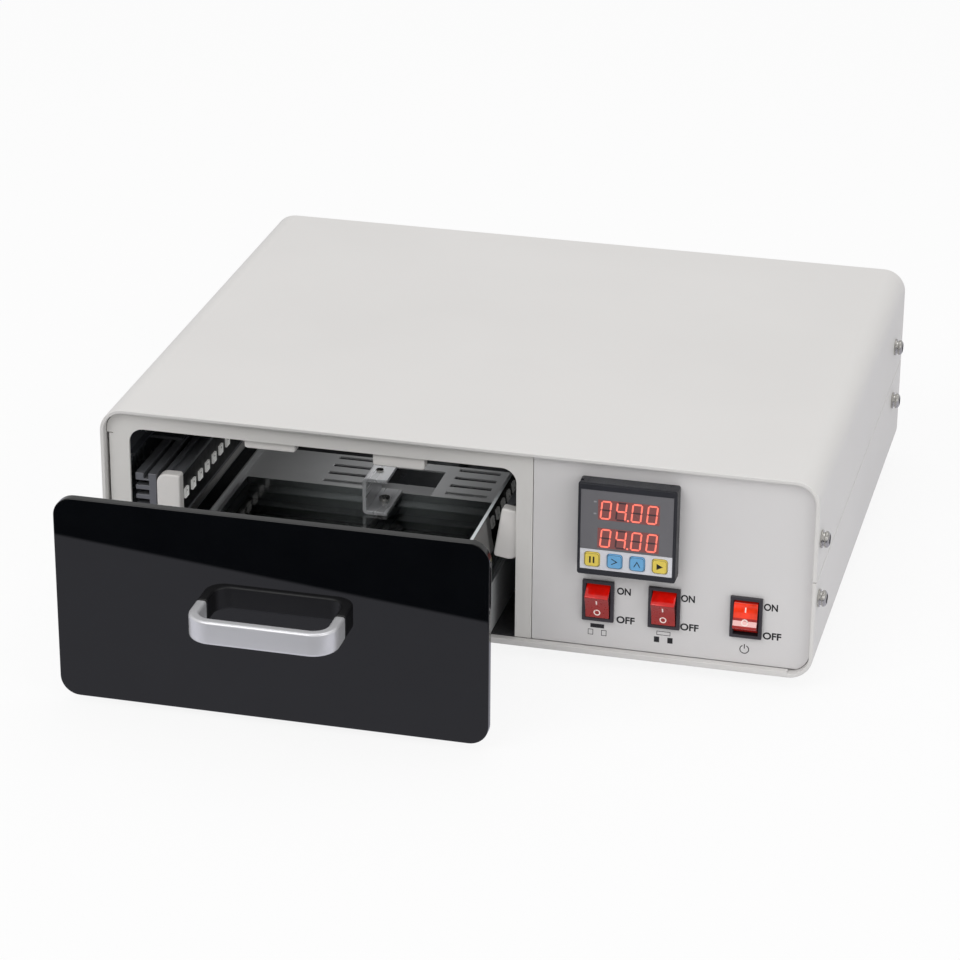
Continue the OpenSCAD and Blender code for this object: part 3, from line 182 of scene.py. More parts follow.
WHITE = srgb(222, 220, 218)
POWDER = dict(var_scale=9, bump=0.06, bump_scale=1400, rough_var=0.03)
# Colour of a faint painted glow on the unlit diodes, which keeps them bright in the bay's shade
LED_PAINTED_GLOW = (0.9, 0.9, 0.88)
M = {
    "shell": surface("shell_powder_coat", WHITE, rough=0.46, var=0.015, **POWDER),
    "frame": surface("frame_powder_coat", srgb(224, 222, 219), rough=0.48, var=0.015, **POWDER),
    "panel": surface("panel_powder_coat", srgb(222, 220, 220), rough=0.5, var=0.012, **POWDER),
    "bay": surface("bay_dark_paint", srgb(86, 89, 94), rough=0.26, var=0.12, var_scale=30, bump=0.08,
                   bump_scale=500, rough_var=0.08),
    "floor": surface("bay_floor_speckle", srgb(52, 52, 54), rough=0.5, var=0.3, var_scale=260, bump=0.35,
                     bump_scale=1500,
                     specks=(srgb(120, 120, 118), 1900, 0.62)),
    "steel": surface("zinc_sheet", srgb(150, 152, 155), rough=0.35, metal=0.9, var=0.12, var_scale=40,
                     bump=0.04),
    "screw": surface("screw_steel", srgb(190, 188, 184), rough=0.25, metal=1.0, var=0.15, var_scale=300,
                     bump=0.06, bump_scale=2500),
    "rubber": surface("foot_rubber", srgb(34, 34, 35), rough=0.75, var=0.12, var_scale=120, bump=0.2,
                      bump_scale=1500),
    "acrylic": surface("black_acrylic", (0.0016, 0.0018, 0.002), rough=0.02, var=0.25, var_scale=60,
                       rough_var=0.004,
                       bump=0.002, bump_scale=60, spec=0.5),
    "silver": surface("anodised_silver", srgb(222, 222, 225), rough=0.36, metal=0.55, var=0.03, var_scale=60,
                      rough_var=0.05,
                      bump=0.03, bump_scale=2600, stretch=(0.12, 1, 1)),
    "handle": surface("handle_black_plastic", srgb(20, 20, 22), rough=0.42, spec=0.3, var=0.12, var_scale=60,
                      bump=0.12, bump_scale=2200),
    "tray": surface("drawer_grey_paint", srgb(176, 177, 178), rough=0.4, var=0.06, var_scale=30, bump=0.08,
                    bump_scale=1300),
    "bracket": surface("bracket_aluminium", srgb(236, 237, 239), rough=0.3, metal=0.35, var=0.06,
                       var_scale=80, rough_var=0.08,
                       bump=0.05, bump_scale=900, stretch=(1, 0.1, 1)),
    "rail": surface("runner_steel", srgb(120, 122, 125), rough=0.32, metal=0.9, var=0.15, var_scale=50,
                    bump=0.05),
    "lamp": surface("lamp_dark_aluminium", srgb(112, 113, 117), rough=0.34, metal=0.35, var=0.08,
                    var_scale=40, rough_var=0.06,
                    bump=0.05, bump_scale=900, stretch=(1, 0.08, 1)),
    "cap": surface("lamp_cap_white", srgb(232, 229, 226), rough=0.36, var=0.02, var_scale=60, bump=0.05,
                   bump_scale=2000),
    "board": surface("lamp_board_black", srgb(14, 14, 16), rough=0.42, var=0.2, var_scale=90, bump=0.05,
                     bump_scale=1500),
    # The unlit diodes' bodies and gel carry that faint painted glow
    "led": surface("led_body", srgb(240, 239, 236), rough=0.35, var=0.03, var_scale=300, bump=0.03,
                   emit=LED_PAINTED_GLOW, emit_strength=0.16),
    "gel": surface("led_gel", srgb(236, 236, 232), rough=0.15, var=0.04, var_scale=700, bump=0.05, coat=0.4,
                   emit=LED_PAINTED_GLOW, emit_strength=0.2),
    "timer": surface("timer_black_plastic", srgb(38, 39, 45), rough=0.42, var=0.1, var_scale=80, bump=0.16,
                     bump_scale=2400),
    "window": surface("timer_smoked_window", srgb(108, 107, 110), rough=0.1, var=0.03, var_scale=60,
                      rough_var=0.03, bump=0.01),
    "display": surface("timer_display_block", srgb(112, 84, 86), rough=0.35, var=0.05, var_scale=200,
                       bump=0.05),
    "seg_on": surface("segment_lit", srgb(255, 118, 100), rough=0.3, var=0.03, emit=(1.0, 0.2, 0.14),
                      emit_strength=0.62),
    "seg_off": surface("segment_dark", srgb(74, 54, 57), rough=0.3, var=0.06),
    "glow": surface("segment_halo", srgb(132, 82, 80), rough=0.3, var=0.06, emit=(1.0, 0.12, 0.08),
                    emit_strength=0.03),
    "small_ink": surface("window_indicator", srgb(152, 150, 154), rough=0.3, var=0.05, var_scale=300),
    "keypad": surface("timer_keypad_white", srgb(224, 224, 230), rough=0.36, var=0.02, bump=0.05,
                      bump_scale=1500),
    "yellow": surface("key_yellow", srgb(240, 214, 92), rough=0.34, var=0.04, var_scale=300, bump=0.06,
                      bump_scale=1800),
    "blue": surface("key_blue", srgb(112, 178, 226), rough=0.34, var=0.04, var_scale=300, bump=0.06,
                    bump_scale=1800),
    "ink": surface("printed_ink", srgb(16, 16, 18), rough=0.5, var=0.06, var_scale=500, bump=0.05),
    # The white I and O marks are tinted pink and carry a faint painted glow
    "ink_white_glow": surface("white_ink_glow", srgb(244, 222, 216), rough=0.4, var=0.04, var_scale=500,
                         emit=(1.0, 0.85, 0.82), emit_strength=0.12),
    "switch": surface("switch_black_plastic", srgb(52, 48, 54), rough=0.4, var=0.1, var_scale=120, bump=0.1,
                      bump_scale=2400),
    # The unlit rockers' red faces carry a faint painted glow
    "rocker": surface("rocker_red", srgb(158, 36, 28), rough=0.3, var=0.1, var_scale=200, bump=0.03,
                      bump_scale=900, coat=0.2,
                      emit=(0.9, 0.02, 0.01), emit_strength=0.03),
    # The unlit rockers' ends are a brighter red with a painted glow, standing for light from above coming
    # through the red plastic
    "rocker_end": surface("rocker_red_end_glow", srgb(190, 8, 5), rough=0.14, var=0.3, var_scale=260, coat=0.6,
                          emit=(1.0, 0.01, 0.0), emit_strength=0.2),
    "rocker_lit": surface("rocker_red_lit", srgb(208, 36, 10), rough=0.16, var=0.4, var_scale=190, coat=0.4,
                          emit=(1.0, 0.07, 0.01), emit_strength=0.3),
    # The rockers' flanks are a darker copy of the red: painted shade
    "rocker_side": surface("rocker_red_side_shade", srgb(84, 10, 8), rough=0.25, var=0.2, var_scale=200, coat=0.4),
    "rocker_dim": surface("rocker_red_dim", srgb(150, 14, 8), rough=0.16, var=0.3, var_scale=150, coat=0.6,
                          emit=(1.0, 0.02, 0.0), emit_strength=0.1),
    "rocker_glare": surface("rocker_red_glare", srgb(246, 196, 192), rough=0.2, var=0.06, var_scale=150,
                            coat=0.6,
                            emit=(1.0, 0.5, 0.48), emit_strength=0.1),
    "supply": surface("supply_sheet", srgb(168, 170, 172), rough=0.32, metal=0.8, var=0.1, var_scale=30,
                      bump=0.05),
    "fan": surface("fan_plastic", srgb(32, 32, 34), rough=0.45, var=0.1, var_scale=90, bump=0.1,
                   bump_scale=2000),
    "wire": surface("guard_chrome", srgb(196, 196, 198), rough=0.18, metal=1.0, var=0.05, var_scale=200,
                    bump=0.03),
}
M["glass"] = pane("clear_glass", (0.93, 0.95, 0.95), srgb(214, 218, 218))
M["side_glass"] = pane("clear_side_pane", (0.94, 0.95, 0.95), srgb(214, 218, 220), flat_axis="X")

SLOT_MAT = {
    "shell_paint": "shell", "frame_paint": "frame", "panel_paint": "panel", "bay_black": "bay",
    "floor_black": "floor",
    "inner_steel": "steel", "screw_steel": "screw", "foot_rubber": "rubber", "front_acrylic": "acrylic",
    "handle_silver": "silver", "handle_black": "handle", "drawer_grey": "tray", "clear_glass": "glass",
    "bracket_metal": "bracket", "runner_steel": "rail", "lamp_housing": "lamp", "cap_white": "cap",
    "led_board": "board",
    "timer_black": "timer", "timer_glass": "window", "display_red": "display", "keypad_white": "keypad",
    "key_yellow": "yellow", "key_blue": "blue", "switch_black": "switch", "rocker_red": "rocker",
    "supply_metal": "supply", "fan_black": "fan", "guard_wire": "wire",
}


def paint(ob, mat):
    ob.data.materials.clear()
    ob.data.materials.append(mat)


for n, ob in NODES.items():
    paint(ob, M[SLOT_MAT[SLOT[n]]])
paint(NODES["side_pane"], M["side_glass"])


# Mesh helpers
def finish_mesh(name, bm, mats, body, angle=35.0, merge=1e-6):
    bmesh.ops.remove_doubles(bm, verts=bm.verts, dist=merge)
    bmesh.ops.recalc_face_normals(bm, faces=bm.faces)
    me = bpy.data.meshes.new(name)
    bm.to_mesh(me)
    bm.free()
    me.shade_smooth()
    me.set_sharp_from_angle(angle=math.radians(angle))
    for m in (mats if isinstance(mats, (list, tuple)) else [mats]):
        me.materials.append(m)
    ob = bpy.data.objects.new(name, me)
    bpy.context.scene.collection.objects.link(ob)
    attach(ob, body)
    return ob


def soften(node, width, segments, mat=None):
    """A copy of a CAD node with its sharp edges really rounded, standing for that node."""
    bm = bmesh.new()
    bm.from_mesh(NODES[node].data)
    bmesh.ops.remove_doubles(bm, verts=bm.verts, dist=2e-6)
    bmesh.ops.dissolve_limit(bm, angle_limit=math.radians(0.4), verts=bm.verts, edges=bm.edges)
    bmesh.ops.recalc_face_normals(bm, faces=bm.faces)
    sharp = math.radians(28.0)
    edges = [e for e in bm.edges if len(e.link_faces) == 2 and e.calc_face_angle(0) > sharp]
    bmesh.ops.bevel(bm, geom=edges, offset=width * MM, offset_type="OFFSET", segments=segments, profile=0.5,
                    affect="EDGES", material=-1, clamp_overlap=False, loop_slide=True)
    mat = mat or M[SLOT_MAT[SLOT[node]]]
    ob = finish_mesh(node + "_shaped", bm, mat, BODY[node], angle=32)
    even = ob.modifiers.new("even_normals", "WEIGHTED_NORMAL")
    even.keep_sharp = True
    even.weight = 90
    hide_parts(node)
    return ob


def box_mm(bm, lo, hi):
    """A box between two case places."""
    a, b = P(*lo), P(*hi)
    verts = bmesh.ops.create_cube(bm, size=1.0)["verts"]
    bmesh.ops.scale(bm, vec=b - a, verts=verts)
    bmesh.ops.translate(bm, vec=(a + b) / 2, verts=verts)


def prism(bm, pts, d0, d1, mat=0):
    """An outline in x and z, from depth d0 to d1, closed."""
    front = [bm.verts.new(P(x, d0, z)) for x, z in pts]
    back = [bm.verts.new(P(x, d1, z)) for x, z in pts]
    faces = [bm.faces.new(front), bm.faces.new(list(reversed(back)))]
    n = len(pts)
    for i in range(n):
        faces.append(bm.faces.new([front[i], back[i], back[(i + 1) % n], front[(i + 1) % n]]))
    for f in faces:
        f.material_index = mat


def rectangle(x0, x1, z0, z1):
    return [(x0, z0), (x1, z0), (x1, z1), (x0, z1)]


def arc(bm, cx, cz, r0, r1, d0, d1, n, a0, a1):
    """A flat open arc standing in x and z, from angle a0 to a1 in degrees."""
    rows = []
    for i in range(n + 1):
        a = math.radians(a0 + (a1 - a0) * i / n)
        corners = ((r0, d0), (r1, d0), (r1, d1), (r0, d1))
        rows.append([bm.verts.new(P(cx + r * math.cos(a), d, cz + r * math.sin(a))) for r, d in corners])
    for a, b in zip(rows, rows[1:]):
        for k in range(4):
            bm.faces.new([a[k], a[(k + 1) % 4], b[(k + 1) % 4], b[k]])
    bm.faces.new(rows[0])
    bm.faces.new(list(reversed(rows[-1])))


# CAD shapes with rounded edges: node, width of the rounding in millimetres, its segments
ROUNDED = (
    ("top_cover", 0.55, 3), ("base_tray", 0.55, 3), ("control_panel", 0.2, 2), ("rear_panel", 0.3, 2),
    ("feet", 0.7, 3), ("side_screws", 0.3, 2), ("side_washers", 0.12, 2), ("drawer_front", 0.5, 3),
    ("handle_grip", 1.3, 4), ("handle_base", 1.2, 4), ("lamp_end_caps", 0.9, 4), ("work_bracket", 0.3, 2),
    ("timer_bezel", 0.22, 2), ("timer_keypad", 0.1, 1), ("drawer_frame", 0.25, 2), ("bay_liner", 0.2, 1),
    ("lamp_left", 0.3, 2), ("lamp_right", 0.3, 2), ("lamp_top_left", 0.3, 2), ("lamp_top_right", 0.3, 2),
    ("side_heat_sink", 0.3, 2), ("switch_body_top_lamps", 0.35, 2), ("switch_body_side_lamps", 0.35, 2),
    ("switch_body_power", 0.35, 2), ("mains_inlet", 0.4, 2), ("fan_frame", 0.4, 2), ("fan_rotor", 0.2, 1),
    ("front_screws", 0.3, 2), ("handle_screws", 0.3, 2), ("bracket_screws", 0.25, 2),
    ("foot_screws", 0.2, 2), ("fan_screws", 0.3, 2), ("fixed_rail", 0.15, 1), ("moving_rail", 0.2, 1),
    ("lamp_brackets", 0.2, 1), ("partition_wall", 0.2, 1), ("power_supply", 0.3, 2),
    ("glass_plate", 0.3, 2), ("side_pane", 0.2, 2), ("timer_key_pause", 0.45, 3),
    ("timer_key_next", 0.45, 3), ("timer_key_up", 0.45, 3), ("timer_key_run", 0.45, 3),
)
for node, width, segments in ROUNDED:
    piece = soften(node, width, segments, M["side_glass"] if node == "side_pane" else None)
    if node in ("handle_grip", "handle_base"):
        piece.visible_glossy = False


# Lamps: boards with their light emitting diodes, built along Y with the light towards +Z
def matrix_at(x, d, z):
    return Matrix.Translation(P(x, d, z))


def turn_y(degrees):
    return Matrix.Rotation(math.radians(degrees), 4, "Y")


def slab(bm, x0, x1, y0, y1, z0, z1, mat):
    """A box in the lamp's own millimetres; returns its faces."""
    verts = bmesh.ops.create_cube(bm, size=1.0)["verts"]
    bmesh.ops.scale(bm, vec=Vector((x1 - x0, y1 - y0, z1 - z0)) * MM, verts=verts)
    bmesh.ops.translate(bm, vec=Vector((x0 + x1, y0 + y1, z0 + z1)) * (MM / 2), verts=verts)
    faces = list({f for v in verts for f in v.link_faces})
    for f in faces:
        f.material_index = mat
    return faces


BAY_LEFT, BAY_RIGHT, BAY_MIDDLE = -140.5, 19.5, -60.5
LAMP_FRONT, LAMP_L, CAP_L, PITCH = 5.8, 252.0, 6.5, 11.0
BOARD_HALF_W, LED_SIZE = 9.9, 5.0
LAMPS = {
    "led_strip_left": matrix_at(BAY_LEFT + 0.5, LAMP_FRONT, 55.5) @ turn_y(90),
    "led_strip_right": matrix_at(BAY_RIGHT, LAMP_FRONT, 44.5) @ turn_y(9)
    @ Matrix.Translation((0, 0, 0.013)) @ turn_y(-90),
    "led_strip_top_left": matrix_at(BAY_MIDDLE - 32.5, LAMP_FRONT, 99.4 - 12) @ turn_y(180),
    "led_strip_top_right": matrix_at(BAY_MIDDLE + 32.5, LAMP_FRONT, 97.4 - 12) @ turn_y(180),
}
for node, place in LAMPS.items():
    bm = bmesh.new()
    slab(bm, -BOARD_HALF_W, BOARD_HALF_W, CAP_L + 0.2, LAMP_L - CAP_L - 0.2, -1.8, -0.6, 0)
    count = int((LAMP_L - 2 * CAP_L - LED_SIZE) // PITCH)
    for i in range(count):
        y = CAP_L + 1.5 + i * PITCH
        top = [f for f in slab(bm, -LED_SIZE / 2, LED_SIZE / 2, y, y + LED_SIZE, -0.62, 0.39, 1)
               if f.normal.z > 0.9]
        bmesh.ops.inset_individual(bm, faces=top, thickness=0.0007, depth=-0.00022)
        for f in top:
            f.material_index = 2
        slab(bm, -1.3, -0.5, y + 2.3, y + 3.3, 0.16, 0.21, 0)
        if i < count - 1:
            slab(bm, -0.5, 0.5, y + 7.4, y + 8.2, -0.61, -0.35, 3)
    bmesh.ops.transform(bm, matrix=place, verts=bm.verts)
    mats = [M["board"], M["led"], M["gel"], M["lamp"]]
    ob = finish_mesh(node + "_detail", bm, mats, "case", merge=1e-7)
    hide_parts(node)

# Timer: digits, their ground, indicators and the signs on its keys
PANEL_D = 4.0
TIMER_X, TIMER_Z, TIMER_HALF = 87.3, 69.0, 24
WINDOW_D = PANEL_D - 8.7
WINDOW_X0, WINDOW_Z0 = TIMER_X - TIMER_HALF + 1.4, TIMER_Z - TIMER_HALF + 3 + 10.8
ROW_PITCH, DIGIT_PITCH = 14.7, 7.5
DIGIT_W, DIGIT_H, BAR_T, BAR_GAP, SLANT = 5.2, 9.7, 0.8, 0.12, 0.09
LIT = {"0": "abcdef", "4": "bcfg"}


def bar_across(z):
    """A level bar of a digit, six-cornered, in the digit's own x and z from its lower left corner."""
    g, w, t = BAR_GAP, DIGIT_W, BAR_T
    return [(g + t / 2, z), (g + t, z + t / 2), (w - g - t, z + t / 2),
            (w - g - t / 2, z), (w - g - t, z - t / 2), (g + t, z - t / 2)]


def bar_upright(x, z0, z1):
    g, t = BAR_GAP, BAR_T
    return [(x, z0 + g), (x - t / 2, z0 + g + t / 2), (x - t / 2, z1 - g - t / 2),
            (x, z1 - g), (x + t / 2, z1 - g - t / 2), (x + t / 2, z0 + g + t / 2)]


EDGE, HALF_H = BAR_T / 2, DIGIT_H / 2
BARS = {
    "a": bar_across(DIGIT_H - EDGE), "b": bar_upright(DIGIT_W - EDGE, HALF_H, DIGIT_H - EDGE),
    "c": bar_upright(DIGIT_W - EDGE, EDGE, HALF_H), "d": bar_across(EDGE),
    "e": bar_upright(EDGE, EDGE, HALF_H), "f": bar_upright(EDGE, HALF_H, DIGIT_H - EDGE),
    "g": bar_across(HALF_H),
}
bm = bmesh.new()
D0, D1 = WINDOW_D + 0.14, WINDOW_D + 0.205
for row in (0, 1):
    z0 = WINDOW_Z0 + 1.5 + row * ROW_PITCH
    for i, digit in enumerate("0400"):
        x0 = WINDOW_X0 + 9.3 + i * DIGIT_PITCH
        for bar, outline in BARS.items():
            on = bar in LIT[digit]
            pts = [(x0 + px + SLANT * pz, z0 + pz) for px, pz in outline]
            prism(bm, pts, D0 if on else D0 + 0.02, D1, 0 if on else 1)
        if i == 1:
            cx, cz = x0 + 6.3, z0 + 0.5
            angles = [k * math.pi / 6 for k in range(12)]
            prism(bm, [(cx + 0.5 * math.cos(a), cz + 0.5 * math.sin(a)) for a in angles], D0, D1)
finish_mesh("timer_digits", bm, [M["seg_on"], M["seg_off"]], "case", merge=1e-8)

# The ground behind the digits carries a faint painted red glow, standing for light spilt from the lit
# segments
bm = bmesh.new()
for row in (0, 1):
    z0 = WINDOW_Z0 + 1.1 + row * ROW_PITCH
    box_mm(bm, (WINDOW_X0 + 8.5, WINDOW_D + 0.17, z0), (WINDOW_X0 + 38.4, WINDOW_D + 0.208, z0 + 10.5))
finish_mesh("timer_digit_ground", bm, M["glow"], "case", merge=1e-8)

bm = bmesh.new()
for row in (0, 1):
    x0, z0 = WINDOW_X0 + 6.4, WINDOW_Z0 + 24.6 - row * 6.2
    box_mm(bm, (x0, WINDOW_D + 0.15, z0), (x0 + 1.3, WINDOW_D + 0.205, z0 + 0.8))
finish_mesh("timer_indicators", bm, M["small_ink"], "case", merge=1e-8)

KEY_Z = TIMER_Z - TIMER_HALF + 3.1 + 5.4
KEY_D = WINDOW_D + 0.2 - 0.7
KEY_PITCH, KEY_ROUND = 11.0, 1.2
KEY_SIGNS = {
    "key_pause": [rectangle(-1.3, -0.5, -1.7, 1.7), rectangle(0.5, 1.3, -1.7, 1.7)],
    "key_next": [[(-1.5, 1.7), (1.6, 0.0), (-1.5, -1.7), (-1.5, -1.25), (0.75, 0.0), (-1.5, 1.25)]],
    "key_up": [[(-1.7, -1.5), (0.0, 1.6), (1.7, -1.5), (1.25, -1.5), (0.0, 0.8), (-1.25, -1.5)]],
    "key_run": [[(-1.4, -1.6), (1.6, 0.0), (-1.4, 1.6)]],
}


def rounded_square(cx, cz, half):
    """The outline of a square with rounded corners, in x and z."""
    pts = []
    for quarter, (sx, sz) in enumerate(((1, 1), (-1, 1), (-1, -1), (1, -1))):
        for k in range(5):
            t = math.pi / 2 * (quarter + k / 4)
            pts.append((cx + sx * (half - KEY_ROUND) + KEY_ROUND * math.cos(t),
                        cz + sz * (half - KEY_ROUND) + KEY_ROUND * math.sin(t)))
    return pts


for i, (body, signs) in enumerate(KEY_SIGNS.items()):
    key_x = TIMER_X + (i - 1.5) * KEY_PITCH
    bm = bmesh.new()
    for pts in signs:
        prism(bm, [(key_x + x, KEY_Z + z) for x, z in pts], KEY_D - 0.03, KEY_D + 0.05)
    finish_mesh("sign_" + body, bm, M["ink"], body, merge=1e-8)
    bm = bmesh.new()
    outer, inner = rounded_square(key_x, KEY_Z, 3.4), rounded_square(key_x, KEY_Z, 3.26)
    vo, vi, wo, wi = [[bm.verts.new(P(x, KEY_D + d, z)) for x, z in pts]
                      for pts, d in ((outer, -0.015), (inner, -0.015), (outer, 0.05), (inner, 0.05))]
    for k in range(len(outer)):
        j = (k + 1) % len(outer)
        for corners in ([vo[k], vo[j], vi[j], vi[k]], [vi[k], vi[j], wi[j], wi[k]],
                        [wo[j], wo[k], wi[k], wi[j]], [vo[j], vo[k], wo[k], wo[j]]):
            bm.faces.new(corners)
    finish_mesh("rim_" + body, bm, M["ink"], body, merge=1e-8)

# Rockers: place in x, lean in degrees, body
SWITCH = {
    "rocker_top_lamps": (72.65, 16.5, "rocker_a"),
    "rocker_side_lamps": (105.15, 16.5, "rocker_b"),
    "rocker_power": (145.125, -16.5, "rocker_c"),
}
SWITCH_W, SWITCH_H, SWITCH_Z, PIVOT_D = 15.6, 21.5, 28.1, PANEL_D + 3.4
HALF_W = (SWITCH_W - 3.4 - 0.5) / 2
REACH = SWITCH_H / 2 - 1.7 - 0.35
CREST, CREST_ANGLE = REACH + 1.8, 37
CREST_Y = CREST * math.cos(math.radians(CREST_ANGLE))
CREST_Z = CREST * math.sin(math.radians(CREST_ANGLE))
DISH, FACE_STEPS = 0.75, 10


def rocker_end(sign):
    """One end of a rocker's profile in y and z, from its crest to its back."""
    touch = CREST_ANGLE + math.degrees(math.acos(REACH / CREST))
    turns = [math.radians(touch + k * 6) for k in range(6)]
    part = [(CREST_Y, CREST_Z)] + [(REACH * math.cos(a), REACH * math.sin(a)) for a in turns]
    return [(y, z * sign) for y, z in part if y > -3.0] + [(-2.9, math.sqrt(REACH ** 2 - 2.9 ** 2) * sign)]


def rocker_piece(node):
    x, lean, body = SWITCH[node]
    power = node == "rocker_power"
    upper, lower = rocker_end(1), rocker_end(-1)
    steps = [-1 + 2 * k / FACE_STEPS for k in range(1, FACE_STEPS)]
    face = [(CREST_Y - DISH * (1 - t * t), CREST_Z * t) for t in steps]
    outline = list(reversed(lower)) + face + upper
    bm = bmesh.new()
    rows = [[bm.verts.new(Vector((sx, -y, z)) * MM) for y, z in outline] for sx in (-HALF_W, HALF_W)]
    n = len(outline)
    left = bm.faces.new(rows[0])
    right = bm.faces.new(list(reversed(rows[1])))
    first = len(lower) - 1
    for k in range(n):
        f = bm.faces.new([rows[0][k], rows[1][k], rows[1][(k + 1) % n], rows[0][(k + 1) % n]])
        is_face = first <= k < first + FACE_STEPS
        f.material_index = 0 if is_face else 1
        if is_face and power:
            t = -1 + 2 * (k - first + 0.5) / FACE_STEPS
            f.material_index = 2 if -0.72 < t < -0.38 else (0 if t > -0.1 else 1)
    left.material_index = right.material_index = 3
    bmesh.ops.recalc_face_normals(bm, faces=bm.faces)
    edges = [e for e in bm.edges if e.calc_face_angle(0) > math.radians(30)]
    bmesh.ops.bevel(bm, geom=edges, offset=0.0004, segments=3, profile=0.5, affect="EDGES",
                    material=-1, clamp_overlap=True)
    place = Matrix.Translation(P(x, PIVOT_D, SWITCH_Z)) @ Matrix.Rotation(math.radians(lean), 4, "X")
    bmesh.ops.transform(bm, matrix=place, verts=bm.verts)
    # Unlit rockers take painted glow on faces and ends; the lit power rocker glows from its own lamp
    face_mat, end_mat = ("rocker_lit", "rocker_dim") if power else ("rocker", "rocker_end")
    mats = [M[face_mat], M[end_mat], M["rocker_glare"], M["rocker_side"]]
    ob = finish_mesh(node + "_shaped", bm, mats, body, angle=30)
    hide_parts(node)
    ob.visible_glossy = False
    rocker_marks(node, body, place)


def rocker_marks(node, body, place):
    """The signs I and O, on the face in the rocker's own place."""
    bm = bmesh.new()

    def spot(px, pz, out):
        t = pz / CREST_Z
        return Vector((px, -(CREST_Y - DISH * (1 - t * t) + out), pz)) * MM

    def patch(points):
        a = [bm.verts.new(spot(px, pz, 0.05)) for px, pz in points]
        b = [bm.verts.new(spot(px, pz, -0.1)) for px, pz in points]
        bm.faces.new(a)
        bm.faces.new(list(reversed(b)))
        for k in range(len(a)):
            j = (k + 1) % len(a)
            bm.faces.new([a[k], b[k], b[j], a[j]])

    zc = CREST_Z * 0.52
    r0, r1, steps = 1.1, 1.7, 20
    patch(rectangle(-0.32, 0.32, zc - 1.6, zc + 0.9))
    for i in range(steps):
        a0, a1 = 2 * math.pi * i / steps, 2 * math.pi * (i + 1) / steps
        patch([(r0 * math.cos(a0), -zc + r0 * math.sin(a0)), (r1 * math.cos(a0), -zc + r1 * math.sin(a0)),
               (r1 * math.cos(a1), -zc + r1 * math.sin(a1)), (r0 * math.cos(a1), -zc + r0 * math.sin(a1))])
    bmesh.ops.transform(bm, matrix=place, verts=bm.verts)
    # The marks take the white ink with its faint painted glow
    finish_mesh("marks_" + node, bm, M["ink_white_glow"], body, merge=1e-8)


for node in SWITCH:
    rocker_piece(node)

# Printed signs on the control panel
LETTER_SIZE = 5.0
PRINT_D0, PRINT_D1 = PANEL_D - 0.03, PANEL_D + 0.04


def lettering(name, text, x, z, width):
    cu = bpy.data.curves.new(name, "FONT")
    cu.body = text
    cu.size = LETTER_SIZE * MM
    cu.extrude = 0.00002
    cu.offset = 0.00015
    ob = bpy.data.objects.new(name, cu)
    bpy.context.scene.collection.objects.link(ob)
    bpy.context.view_layer.update()
    me = bpy.data.meshes.new_from_object(ob.evaluated_get(bpy.context.evaluated_depsgraph_get()))
    bpy.data.objects.remove(ob)
    me.transform(Matrix.Translation(P(x, PANEL_D - 0.02, z)) @ Matrix.Rotation(math.radians(90), 4, "X")
                 @ Matrix.Diagonal((width, 1, 1, 1)))
    me.materials.clear()
    me.materials.append(M["ink"])
    piece = bpy.data.objects.new(name, me)
    bpy.context.scene.collection.objects.link(piece)
    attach(piece, "case")


for i, (x, on_z, off_z) in enumerate(((81.6, 32.3, 17.0), (113.0, 32.3, 17.1), (153.3, 32.6, 17.4))):
    lettering("word_on_%d" % i, "ON", x, on_z, 0.88)
    lettering("word_off_%d" % i, "OFF", x, off_z, 1.03)


def printed_box(bm, x0, x1, z0, z1, solid):
    """A filled or an outlined rectangle of ink."""
    t = 0.28
    sides = ((x0, x1, z0, z0 + t), (x0, x1, z1 - t, z1),
             (x0, x0 + t, z0 + t, z1 - t), (x1 - t, x1, z0 + t, z1 - t))
    for side in ((x0, x1, z0, z1),) if solid else sides:
        prism(bm, rectangle(*side), PRINT_D0, PRINT_D1)


bm = bmesh.new()
for x, top_lamps in ((72.3, True), (105.0, False)):
    printed_box(bm, x - 3.4, x + 3.4, 12.95, 15.1, top_lamps)
    for sx in (-4.6, 2.0):
        printed_box(bm, x + sx, x + sx + 2.6, 9.0, 12.0, not top_lamps)
finish_mesh("lamp_signs", bm, M["ink"], "case", merge=1e-8)

bm = bmesh.new()
px, pz = 144.7, 10.6
arc(bm, px, pz, 1.9, 2.35, PRINT_D0, PRINT_D1, 32, 115, 425)
prism(bm, rectangle(px - 0.24, px + 0.24, pz + 0.4, pz + 2.8), PRINT_D0, PRINT_D1)
finish_mesh("power_sign", bm, M["ink"], "case", merge=1e-8)

# Stage, light and camera

# The floor shows glossy rays a painted reflection for the drawer's front to mirror, bright on the case's
# side of this line and dark in front of it: x, y, slope
PAINTED_REFLECTION_EDGE = (-0.23575, -0.35059, 0.17682)


